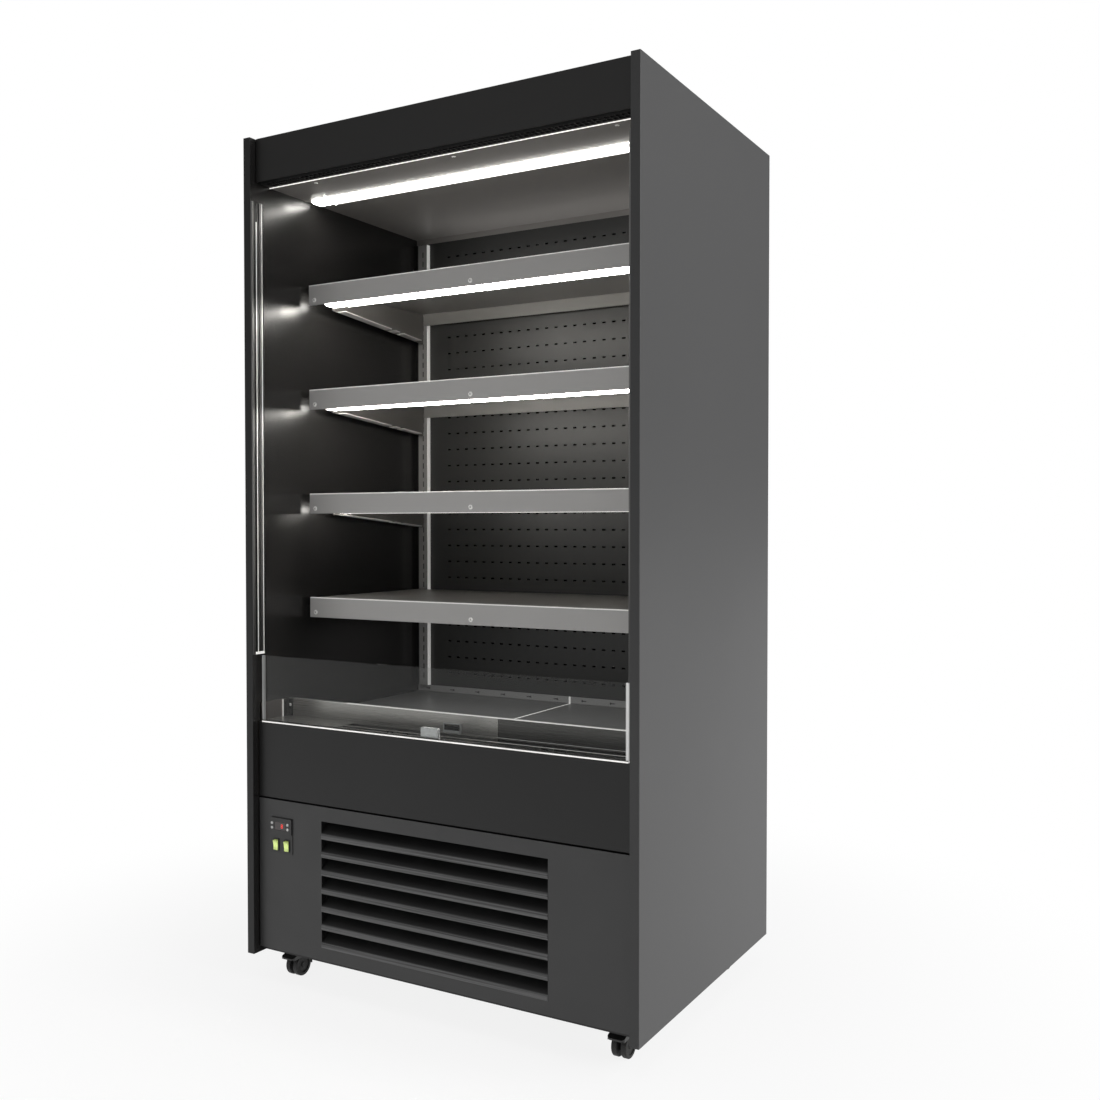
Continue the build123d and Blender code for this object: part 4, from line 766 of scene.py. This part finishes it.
def lit_rocker(name):
    """Translucent rocker, brighter at its middle where the lamp behind it sits."""
    shader = Shader(name)
    low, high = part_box("rocker_left")
    z = shader.axes()[2]
    middle = (low.z + high.z) / 2
    glow = 1.0 - abs(z - middle).ramp(0.0, (high.z - low.z) / 2)
    colour = colours().rocker
    return shader.surface(
        Base_Color=shader.mix(glow, shade(colour, 0.7), colour),
        Roughness=0.22,
        Coat_Weight=0.5,
        Emission_Color=shader.tinted(glow, colour, 0.55, 1.15),
        Emission_Strength=0.55,
    )


def blind_cloth(name):
    """Coated glass-fibre cloth with rows of small holes."""
    shader = Shader(name)
    x, _, z = shader.axes()
    hole = (x.wave(HOLE_PITCH) * z.wave(HOLE_PITCH)).ramp(0.80, 0.90)
    weave = x.wave(THREAD_PITCH) * z.wave(THREAD_PITCH)
    colour = colours().cloth
    return shader.surface(
        Base_Color=shader.mix(hole, colour, shade(colour, 0.12)),
        Roughness=0.62,
        Metallic=0.25,
        Normal=shader.bump(weave * 0.3 - hole, 0.00012, 0.8),
    )


def soldered_copper(name):
    """Copper tube, tarnished in clouds."""
    shader = Shader(name)
    tarnish = shader.noise(40.0, 5.0, 0.6)
    return shader.surface(
        Base_Color=shader.mix(tarnish, (0.62, 0.29, 0.17), (0.34, 0.15, 0.09)),
        Metallic=1.0,
        Roughness=tarnish.ramp(0.3, 0.8, 0.18, 0.42),
    )


def display_window(name):
    """Dark red window over the display."""
    shader = Shader(name)
    film = shader.noise(300.0, 2.0)
    return shader.surface(Base_Color=shader.mix(film, (0.012, 0.004, 0.004), (0.02, 0.006, 0.006)),
                          Roughness=0.08, Coat_Weight=0.6)


def lit_digit(name, colour):
    """Lit segment of the display."""
    shader = Shader(name)
    grain = shader.noise(2500.0, 1.0)
    return shader.surface(
        Base_Color=colour,
        Roughness=0.4,
        Emission_Color=shader.mix(grain, shade(colour, 0.8), colour),
        Emission_Strength=1.6,
    )


# ---------------------------------------------------------------- mesh making
def mesh_data(name, mesh):
    """Turns a bmesh into mesh data."""
    data = bpy.data.meshes.new(name)
    mesh.to_mesh(data)
    mesh.free()
    return data


def link(name, data):
    """Puts a new object into the scene."""
    obj = bpy.data.objects.new(name, data)
    bpy.context.scene.collection.objects.link(obj)
    return obj


class Maker:
    """Collects closed pieces in one mesh, each with its own material slot."""

    def __init__(self):
        self.mesh = bmesh.new()

    def _mark(self, faces, slot, smooth):
        for face in faces:
            face.material_index = slot
            face.smooth = smooth

    def box(self, low, high, bevel=0.0, slot=0):
        """A block between two corners with rounded edges."""
        made = bmesh.ops.create_cube(self.mesh, size=1.0)
        middle = (Vector(low) + Vector(high)) / 2
        spread = Vector(high) - Vector(low)
        matrix = Matrix.Translation(middle) @ Matrix.Diagonal((*spread, 1.0))
        bmesh.ops.transform(self.mesh, matrix=matrix, verts=made["verts"])
        faces = {face for vert in made["verts"] for face in vert.link_faces}
        if bevel:
            edges = list({edge for face in faces for edge in face.edges})
            rounded = bmesh.ops.bevel(self.mesh, geom=edges, offset=bevel, segments=2, profile=0.6,
                                      affect="EDGES")
            faces = {face for face in faces if face.is_valid} | set(rounded["faces"])
        self._mark(faces, slot, False)

    def lathe(self, outline, origin, axis, slot=0, steps=32):
        """Turns (radius, distance along the axis) points about an axis."""
        direction = Vector(axis).normalized()
        side = direction.orthogonal().normalized()
        other = direction.cross(side)
        rings = []
        for radius, distance in outline:
            centre = Vector(origin) + direction * distance
            if radius == 0.0:
                rings.append([self.mesh.verts.new(centre)])
                continue
            ring = []
            for i in range(steps):
                angle = 2 * math.pi * i / steps
                ring.append(self.mesh.verts.new(
                    centre + (side * math.cos(angle) + other * math.sin(angle)) * radius))
            rings.append(ring)
        faces = []
        for low, high in zip(rings, rings[1:]):
            for i in range(steps):
                j = (i + 1) % steps
                corners = [low[i % len(low)], low[j % len(low)], high[j % len(high)], high[i % len(high)]]
                corners = list(dict.fromkeys(corners))
                if len(corners) > 2:
                    faces.append(self.mesh.faces.new(corners))
        self._mark(faces, slot, True)

    def prism(self, outline, start, end, slot=0, smooth=False):
        """Draws a closed outline of points out from start to end, both offsets."""
        first = [self.mesh.verts.new(Vector(point) + Vector(start)) for point in outline]
        last = [self.mesh.verts.new(Vector(point) + Vector(end)) for point in outline]
        count = len(outline)
        faces = [self.mesh.faces.new(first[::-1]), self.mesh.faces.new(last)]
        sides = []
        for i in range(count):
            j = (i + 1) % count
            sides.append(self.mesh.faces.new([first[i], first[j], last[j], last[i]]))
        self._mark(faces, slot, False)
        self._mark(sides, slot, smooth)

    def piece(self, name, body, materials, replaced=()):
        """Turns what was collected into an object that rides on a body."""
        bmesh.ops.recalc_face_normals(self.mesh, faces=self.mesh.faces)
        data = mesh_data(name, self.mesh)
        for material in materials:
            data.materials.append(material)
        obj = link(name, data)
        if replaced:
            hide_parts(*replaced)
        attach(obj, body)


def islands(node):
    """Lowest and highest corner of each separate solid of a CAD node."""
    mesh = NODES[node].data
    parent = {}

    def root(key):
        while parent.setdefault(key, key) != key:
            parent[key] = parent[parent[key]]
            key = parent[key]
        return key

    keys = [tuple(round(part, 5) for part in vert.co) for vert in mesh.vertices]
    for edge in mesh.edges:
        parent[root(keys[edge.vertices[0]])] = root(keys[edge.vertices[1]])
    groups = {}
    for key in set(keys):
        groups.setdefault(root(key), []).append(key)
    boxes = []
    for points in groups.values():
        low = Vector([min(point[i] for point in points) for i in range(3)])
        high = Vector([max(point[i] for point in points) for i in range(3)])
        boxes.append((low, high))
    return boxes


def dress(material, *names):
    """Gives CAD nodes a material."""
    for name in names:
        data = NODES[name].data
        data.materials.clear()
        data.materials.append(material)


# ---------------------------------------------------------------- operators
class FridgeOperator:
    bl_options = {"REGISTER", "UNDO"}

    def execute(self, context):
        self.make()
        return {"FINISHED"}


class FRIDGE_OT_panels(FridgeOperator, bpy.types.Operator):
    """Finishes the outer panels"""
    bl_idname = "fridge.panels"
    bl_label = "Outer panels"

    def make(self):
        tone = colours()
        dress(side_paint("side_powder_coat", tone.side), "side_panel_left", "side_panel_right")
        dress(powder_coat("canopy_powder_coat", tone.canopy, 0.40), "canopy_fascia")
        dress(powder_coat("front_powder_coat", tone.front, 0.38), "front_panel")
        dress(slat_paint("grille_powder_coat", tone.lower), "grille_panel")
        dress(powder_coat("pan_paint", shade(tone.lower, 0.5)), "base_pan")
        dress(galvanised("zinc_sheet"), "rear_panel", "top_panel", "condenser_shroud",
              "evaporator_fan_plate", "drip_tray")
        dress(gloss_paint("tub_enamel", tone.liner), "tub_liner")
        dress(foam_core("insulation"), "insulation_foam")
        self.seal()

    def seal(self):
        """Rubber strip behind the joint between the two front panels."""
        under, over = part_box("grille_panel"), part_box("front_panel")
        clear, inset, deep = 0.0002, 0.002, 0.0025
        back = under[0].y + sizes().seal_setback
        maker = Maker()
        maker.box((over[0].x + inset, back - deep, under[1].z + clear),
                  (over[1].x - inset, back, over[0].z - clear), 0.0006)
        maker.piece("panel_seal", "cabinet", [rubber_tread("seal_rubber")])


class FRIDGE_OT_interior(FridgeOperator, bpy.types.Operator):
    """Finishes the liners, the perforated back, the shelves and the deck"""
    bl_idname = "fridge.interior"
    bl_label = "Interior"

    def trim(self):
        """Clear plastic bead along the front edge of the ceiling panel, which carries the lamp's light."""
        low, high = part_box("ceiling_panel")
        setback, under, inset = 0.0012, 0.014, 0.0015
        bead = sizes().bead
        y, z = low.y + setback, low.z + under - bead * 0.6
        angles = [i * math.pi / 8 for i in range(16)]
        outline = [(0.0, y + bead * math.cos(angle), z + bead * math.sin(angle)) for angle in angles]
        maker = Maker()
        maker.prism(outline, (low.x + inset, 0, 0), (high.x - inset, 0, 0), 0, True)
        maker.piece("ceiling_bead", "cabinet", [light_strip("bead_plastic", (1.0, 0.97, 0.92), 1.1)])

    def make(self):
        tone = colours()
        dress(gloss_paint("liner_gloss", tone.liner, 0.245), "inner_liners")
        dress(powder_coat("ceiling_paint", tone.ceiling, 0.36), "ceiling_panel")
        dress(powder_coat("back_paint", tone.back, 0.36), "duct_panel")
        dress(powder_coat("shelf_powder_coat", tone.tray, 0.34), "shelves")
        dress(edged_paint("fascia_powder_coat", tone.shelf, tone.edge), "shelf_fronts")
        # the brackets' lips carry painted light: the fascia paint made lighter
        dress(bracket_paint("bracket_powder_coat", tone.bracket, shade(tone.shelf, 1.3)), "shelf_brackets")
        dress(upright_paint("upright_powder_coat", tone.upright, tone.edge), "shelf_uprights")
        dress(deck_paint("deck_paint", tone.deck, tone.edge), "deck_panels")
        dress(riser_steel("riser_steel", (0.37, 0.36, 0.345), tone.edge), "return_grille")
        dress(moulded("honeycomb_plastic", (0.0035, 0.0034, 0.0033), 0.6), "air_honeycomb")
        self.trim()


class FRIDGE_OT_lamps(FridgeOperator, bpy.types.Operator):
    """Builds the lamps: channel, opal lens, end sockets with their pins"""
    bl_idname = "fridge.lamps"
    bl_label = "Lamps"

    def lamp(self, maker, half, y, low, top, thick, lens, cap):
        size = sizes()
        width = size.lens_width / 2
        round_off = min(0.004, thick / 2)
        outline = [(0.0, y - width, low + thick), (0.0, y - width, low + round_off)]
        arc = [math.pi / 2 * i / 6 for i in range(7)]
        for side, angles in ((-1, arc), (1, arc[::-1])):
            for angle in angles:
                outline.append((0.0, y + side * (width - round_off * (1 - math.cos(angle))),
                                low + round_off * (1 - math.sin(angle))))
        outline += [(0.0, y + width, low + round_off), (0.0, y + width, low + thick)]
        outline = list(dict.fromkeys(outline))
        maker.prism(outline, (-half, 0, 0), (half, 0, 0), lens, True)
        channel = width - 0.003
        full = half + size.socket
        lip, rise = 0.003, 0.0008
        maker.box((-full, y - channel, low + thick), (full, y + channel, top), 0.0006, 1)
        for side in (-1, 1):
            first, last = sorted((side * (half + size.socket_gap), side * full))
            maker.box((first, y - channel, low + rise), (last, y + channel, low + thick), 0.002, cap)
            first, last = sorted((side * (half - lip), side * half))
            rim = width - 0.0002
            maker.box((first, y - rim, low - 0.0001), (last, y + rim, low + thick), 0.0004, 1)
            middle = side * (half + size.socket * 0.55)
            maker.lathe([(0.0032, 0.0), (0.0032, 0.0006), (0.0026, 0.0009), (0.0, 0.0006)],
                        (middle, y + 0.006, low + rise), (0, 0, -1), 3, 16)

    def make(self):
        maker = Maker()
        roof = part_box("led_lights")[1].z
        lenses = [box for box in islands("led_lights") if box[1].y - box[0].y > LENS_LEAST]
        if len(lenses) != 4:
            raise RuntimeError(f"expected 4 lamp lenses, found {len(lenses)}")
        lenses.sort(key=lambda box: -box[0].z)
        for order, (lens_low, lens_high) in enumerate(lenses):
            half = lens_high.x
            y = (lens_low.y + lens_high.y) / 2
            thick = lens_high.z - lens_low.z
            top = lens_high.z + thick * 0.6 if thick > LENS_DEEP else roof
            lens, cap = ((4, 1), (0, 2), (0, 2), (5, 6))[order]
            self.lamp(maker, half, y, lens_low.z, top, thick, lens, cap)
            if thick > LENS_DEEP:
                tray, wide, deep = top + HANGER, 0.015, 0.008
                for x in (-half * 2 / 3, half * 2 / 3):
                    maker.box((x - wide, y - deep, top), (x + wide, y + deep, tray), 0.0008, 1)
        glow = studio().lens_glow
        lens = lit_lens("opal_lens", glow)
        canopy_lens = lit_lens("canopy_lens", glow, 0.5)
        dim_lens = lit_lens("dim_lens", glow * 0.06)
        channel = brushed_metal("lamp_channel", (0.62, 0.62, 0.62), "x", 0.3)
        socket = light_strip("lit_socket", (1.0, 0.98, 0.95), 1.0)
        dark_socket = moulded("lamp_socket", (0.5, 0.5, 0.49), 0.35)
        pin = brushed_metal("lamp_screw", (0.6, 0.6, 0.6), "z", 0.25)
        finishes = [lens, channel, socket, pin, canopy_lens, dim_lens, dark_socket]
        maker.piece("lamp_bars", "cabinet", finishes, ("led_lights",))


class FRIDGE_OT_glass(FridgeOperator, bpy.types.Operator):
    """Finishes the glass guard, its rim, its rail and the clips"""
    bl_idname = "fridge.glass"
    bl_label = "Glass guard"

    def make(self):
        dress(guard_glass("guard_glass"), "front_glass")
        dress(lit_rail("rail_edge", (1.0, 0.985, 0.96)), "glass_rail")
        dress(clear_plastic("clip_plastic"), "centre_clips")
        low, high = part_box("front_glass")
        maker = Maker()
        skin, held = 0.0006, 0.006
        for first, last in ((low.x - skin, low.x), (high.x, high.x + skin)):
            maker.box((first, low.y + skin, low.z + held), (last, high.y - skin, high.z), 0.0002)
        maker.piece("glass_rim", "cabinet", [polished_edge("polished_rim")])


class FRIDGE_OT_screws(FridgeOperator, bpy.types.Operator):
    """Builds the screws: domed heads with a cross recess drawn dark as painted shade, and the hexagonal
    castor bolts
    """
    bl_idname = "fridge.screws"
    bl_label = "Screws"

    def screw(self, maker, centre, axis, radius, height):
        dome = [(radius, 0.0), (radius, height * 0.35)]
        for i in range(1, 6):
            angle = math.pi / 2 * i / 6
            dome.append((radius * math.cos(angle), height * (0.35 + 0.65 * math.sin(angle))))
        recess = sizes().cross / 2
        dome += [(recess * 0.42, height * 0.98), (recess * 0.25, height * 0.45), (0.0, height * 0.4)]
        maker.lathe(dome, centre, axis, 0, 28)
        # painted shade: thin dark crosses laid over the recess
        arm, proud = 0.0004, 0.00006
        side = axis.orthogonal().normalized()
        tip = centre + axis * height * 0.97
        for across in (side, axis.cross(side)):
            other = axis.cross(across)
            corners = [tip + across * recess * a + other * arm * b
                       for a, b in ((-1, -1), (1, -1), (1, 1), (-1, 1))]
            maker.prism(corners, (0, 0, 0), axis * proud, 1)

    def bolt(self, maker, centre, axis, radius, height):
        sheet = 0.0006
        side = axis.orthogonal().normalized()
        other = axis.cross(side)
        angles = [math.pi / 3 * i for i in range(6)]
        corners = [centre + (side * math.cos(angle) + other * math.sin(angle)) * radius for angle in angles]
        maker.prism(corners, axis * sheet, axis * height)
        washer = [(radius * 1.05, 0.0), (radius * 1.05, sheet), (radius * 0.5, sheet)]
        maker.lathe(washer, centre, axis, 0, 24)

    def make(self):
        maker = Maker()
        for low, high in islands("panel_screws"):
            spread = high - low
            middle = (low + high) / 2
            along = min(range(3), key=lambda i: spread[i])
            sign = -1.0 if along == 2 or middle[along] < 0.3 else 1.0
            axis = Vector([sign if i == along else 0.0 for i in range(3)])
            seat = middle - axis * spread[along] / 2
            radius = max(spread) / 2
            height = spread[along]
            if along == 2 and middle.z < 0.2:
                self.bolt(maker, seat, axis, radius, height)
            else:
                self.screw(maker, seat, axis, radius, height)
        plated = zinc_plating("plated_screw", (0.80, 0.79, 0.77))
        # painted shade of the cross recess
        recess = moulded("screw_recess", (0.03, 0.03, 0.03), 0.6)
        maker.piece("screw_heads", "cabinet", [plated, recess], ("panel_screws",))
        dress(galvanised("castor_zinc", (0.45, 0.45, 0.45)), "castor_plates")


class FRIDGE_OT_controls(FridgeOperator, bpy.types.Operator):
    """Finishes the control plate, its keys and rockers, and draws the display's figure"""
    bl_idname = "fridge.controls"
    bl_label = "Controls"

    def figure(self, maker, x, z, y, height):
        """A seven-segment figure with all its segments lit."""
        width, thick = height * 0.52, height * 0.13
        half = height / 2
        flat_spots = [(0, half * row, True) for row in (1, 0, -1)]
        upright_spots = [(width / 2 * side, half / 2 * row, False) for side in (-1, 1) for row in (-1, 1)]
        for dx, dz, flat in flat_spots + upright_spots:
            run = (width if flat else half) / 2 - thick * 0.45
            cap = thick / 2
            shape = [(-run, 0), (-run + cap, cap), (run - cap, cap), (run, 0), (run - cap, -cap),
                     (-run + cap, -cap)]
            points = [(x + dx + (a if flat else b), y, z + dz + (b if flat else a)) for a, b in shape]
            maker.prism(points, (0, 0.0002, 0), (0, -0.0001, 0), 0)

    def make(self):
        black = moulded("panel_plastic", (0.018, 0.018, 0.018), 0.38)
        dress(black, "control_plate", "controller")
        dress(moulded("key_plastic", (0.62, 0.62, 0.61), 0.35), *[f"key_{i}" for i in range(1, 5)])
        dress(lit_rocker("rocker_plastic"), "rocker_left", "rocker_right")
        low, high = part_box("controller")
        recess, left, right = 0.0008, 0.003, 0.006
        wide, tall, film = 0.0158, 0.0093, 0.0004
        front = low.y + recess
        middle = Vector(((low.x + high.x) / 2 - left, front, (low.z + high.z) / 2))
        window = Maker()
        window.box((middle.x - wide, front - film, middle.z - tall),
                   (middle.x + wide, front, middle.z + tall), 0.0003)
        window.piece("display_window", "cabinet", [display_window("display_film")])
        digits = Maker()
        height = sizes().segment
        self.figure(digits, middle.x + right, middle.z, front - film - 0.0001, height)
        red = lit_digit("digit_red", (0.9, 0.03, 0.02))
        digits.piece("display_digits", "cabinet", [red])


class FRIDGE_OT_blind(FridgeOperator, bpy.types.Operator):
    """Builds the night blind's roller, wound cloth and hanging cloth, and finishes its guides"""
    bl_idname = "fridge.blind"
    bl_label = "Night blind"

    def make(self):
        aluminium = brushed_metal("guide_aluminium", (0.60, 0.60, 0.60), "z", 0.27)
        dress(guide_metal("guide_metal", (0.15, 0.148, 0.145), colours().edge), "blind_guides")
        dress(brushed_metal("bar_aluminium", (0.55, 0.55, 0.55), "x", 0.27), "blind_bar")
        dress(moulded("roller_plastic", (0.03, 0.03, 0.03), 0.45), "roller_brackets")
        low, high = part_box("blind_roller")
        axis_y, axis_z = (low.y + high.y) / 2, (low.z + high.z) / 2
        outer = (high.z - low.z) / 2
        tube, stub = 0.016, 0.004
        half = high.x - 0.012
        roller = Maker()
        break_edge = 0.001
        right = [(tube, half - break_edge), (tube - break_edge, half), (stub, half), (stub, high.x),
                 (0.0, high.x)]
        left = [(radius, -distance) for radius, distance in right[::-1]]
        roller.lathe(left + right, (0, axis_y, axis_z), (1, 0, 0), 0, 40)
        roller.piece("roller_tube", "blind_roller", [aluminium], ("blind_roller",))
        self.cloth(axis_y, axis_z, tube + 0.0003, outer)

    def cloth(self, axis_y, axis_z, inner, outer):
        """One strip: wound on the tube, then hanging from its front down to the bar."""
        strip_low, strip_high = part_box("blind_fabric")
        plane = (strip_low.y + strip_high.y) / 2
        pitch, clear = 0.0011, 0.0006
        wound = outer - clear - inner
        turns = wound / pitch
        steps = int(turns * 28)
        path = []
        for i in range(steps + 1):
            part = i / steps
            radius = inner + wound * part
            angle = math.pi - 2 * math.pi * turns * (1 - part)
            path.append((axis_y + radius * math.cos(angle), axis_z - radius * math.sin(angle)))
        count = 12
        for i in range(1, count + 1):
            part = i / count
            path.append((plane, axis_z - (axis_z - strip_low.z) * part))
        mesh = bmesh.new()
        rows = []
        for y, z in path:
            rows.append([mesh.verts.new((x, y, z)) for x in (strip_low.x, strip_high.x)])
        for first, second in zip(rows, rows[1:]):
            face = mesh.faces.new([first[0], first[1], second[1], second[0]])
            face.smooth = True
        data = mesh_data("blind_cloth", mesh)
        data.materials.append(blind_cloth("blind_weave"))
        cloth = link("blind_cloth", data)
        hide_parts("blind_fabric")
        run = 0.0
        for (y0, z0), (y1, z1) in zip(path, path[1:]):
            run += math.hypot(y1 - y0, z1 - z0)
        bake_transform(cloth)


class FRIDGE_OT_castors(FridgeOperator, bpy.types.Operator):
    """Finishes the castors"""
    bl_idname = "fridge.castors"
    bl_label = "Castors"

    def make(self):
        forks = [name for name in NODES if name.startswith(("castor_fork", "castor_brake"))]
        wheels = [name for name in NODES if name.startswith("castor_wheels")]
        dress(moulded("castor_nylon", (0.016, 0.016, 0.016), 0.36), *forks)
        dress(rubber_tread("wheel_rubber"), *wheels)


class FRIDGE_OT_machine(FridgeOperator, bpy.types.Operator):
    """Finishes the cooling parts and builds the condenser's fins"""
    bl_idname = "fridge.machine"
    bl_label = "Cooling"

    def make(self):
        dress(gloss_paint("compressor_enamel", (0.015, 0.015, 0.016), 0.2), "compressor")
        dress(brushed_metal("fin_stock", (0.5, 0.5, 0.5), "z", 0.35), "condenser_coil", "evaporator_coil")
        dress(moulded("motor_paint", (0.05, 0.05, 0.05), 0.5), "fan_motors")
        dress(moulded("fan_plastic", (0.03, 0.03, 0.03), 0.45), "condenser_fan", "evaporator_fan_left",
              "evaporator_fan_right")
        dress(soldered_copper("copper_tube"), "refrigerant_pipes")
        low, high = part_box("condenser_coil")
        end, clear, thin = 0.008, 0.001, 0.00015
        maker = Maker()
        step = sizes().fin_pitch
        count = int((high.x - low.x - 2 * end) / step)
        start = (low.x + high.x) / 2 - (count - 1) * step / 2
        for i in range(count):
            x = start + i * step
            maker.box((x - thin, low.y + clear, low.z + clear), (x + thin, high.y - clear, high.z - clear))
        fins = brushed_metal("condenser_fins", (0.42, 0.42, 0.42), "z", 0.4)
        maker.piece("condenser_fins", "cabinet", [fins])


class FRIDGE_OT_stage(FridgeOperator, bpy.types.Operator):
    """Sets up the floor, the studio light and the camera"""
    bl_idname = "fridge.stage"
    bl_label = "Studio"

    def floor(self):
        mesh = bmesh.new()
        bmesh.ops.create_circle(mesh, cap_ends=True, radius=30.0, segments=96)
        data = mesh_data("studio_floor", mesh)
        obj = link("studio_floor", data)
        obj.location.z = -0.0005
        shader = Shader("floor_white")
        seen = (shader.ray("Camera") + shader.ray("Glossy") + shader.ray("Transmission")).least()
        x, y = shader.axes()[:2]
        far = ((x * x + y * y) ** 0.5).ramp(0.5, 1.7, 0.86, 1.0)
        plain = shader.add("ShaderNodeBsdfDiffuse", {}, {"Color": (0.80, 0.80, 0.80)})
        white = shader.add("ShaderNodeEmission", {}, {"Color": WHITE, "Strength": 1.0})
        data.materials.append(shader.show(shader.blend(seen * far, plain, white)))

    def world(self):
        """White where the camera sees it, an even grey light for all else."""
        shader = Shader("studio_world", "World")
        seen = shader.ray("Camera").sum("MAXIMUM", shader.ray("Transmission"))
        room = shader.add("ShaderNodeBackground", {}, {"Color": WHITE, "Strength": studio().ambient})
        white = shader.add("ShaderNodeBackground", {}, {"Color": WHITE, "Strength": 1.0})
        bpy.context.scene.world = shader.show(shader.blend(seen, room, white))

    def aim(self, obj, place, direction):
        """Places an object and turns it to a direction."""
        obj.location = place
        obj.rotation_mode = "QUATERNION"
        obj.rotation_quaternion = direction.to_track_quat("-Z", "Y")

    def lamp(self, name, energy, place, target, width, height, glossy):
        data = bpy.data.lights.new(name, "AREA")
        data.shape = "RECTANGLE"
        data.size, data.size_y = width, height
        data.energy = energy
        obj = link(name, data)
        self.aim(obj, place, Vector(target) - Vector(place))
        obj.visible_camera = False
        obj.visible_glossy = glossy

    def camera(self):
        data = bpy.data.cameras.new("camera")
        data.sensor_width = SENSOR
        data.lens = CAMERA_LENS
        obj = link("camera", data)
        flat = math.cos(CAMERA_PITCH)
        look = (math.sin(CAMERA_YAW) * flat, math.cos(CAMERA_YAW) * flat, math.sin(CAMERA_PITCH))
        self.aim(obj, CAMERA_PLACE, Vector(look))
        bpy.context.scene.camera = obj

    def make(self):
        bpy.context.scene.view_settings.view_transform = "Standard"
        self.floor()
        self.world()
        for name, setting, *rest in STUDIO_LAMPS:
            self.lamp(name, getattr(studio(), setting), *rest)
        self.camera()


OPERATORS = (
    FRIDGE_OT_stage, FRIDGE_OT_panels, FRIDGE_OT_interior, FRIDGE_OT_lamps, FRIDGE_OT_glass, FRIDGE_OT_screws,
    FRIDGE_OT_controls, FRIDGE_OT_blind, FRIDGE_OT_castors, FRIDGE_OT_machine,
)


class FRIDGE_PT_panel(bpy.types.Panel):
    """Shows the fridge's settings and a button for each of its steps"""
    bl_label = "Display fridge"
    bl_idname = "FRIDGE_PT_panel"
    bl_space_type = "VIEW_3D"
    bl_region_type = "UI"
    bl_category = "Fridge"

    def draw(self, context):
        for group in (colours(), sizes(), studio()):
            column = self.layout.column()
            for name in group.__annotations__:
                column.prop(group, name)
        for operator in OPERATORS:
            self.layout.operator(operator.bl_idname)


GROUPS = {"fridge_colours": FridgeColours, "fridge_sizes": FridgeSizes, "fridge_studio": FridgeStudio}
CLASSES = (*GROUPS.values(), *OPERATORS, FRIDGE_PT_panel)


def register():
    for cls in CLASSES:
        bpy.utils.register_class(cls)
    for name, group in GROUPS.items():
        setattr(bpy.types.Scene, name, PointerProperty(type=group))


def unregister():
    for name in GROUPS:
        delattr(bpy.types.Scene, name)
    for cls in reversed(CLASSES):
        bpy.utils.unregister_class(cls)


def main():
    register()
    for operator in OPERATORS:
        group, name = operator.bl_idname.split(".")
        getattr(getattr(bpy.ops, group), name)()
    bpy.context.view_layer.update()


if __name__ == "__main__":
    main()
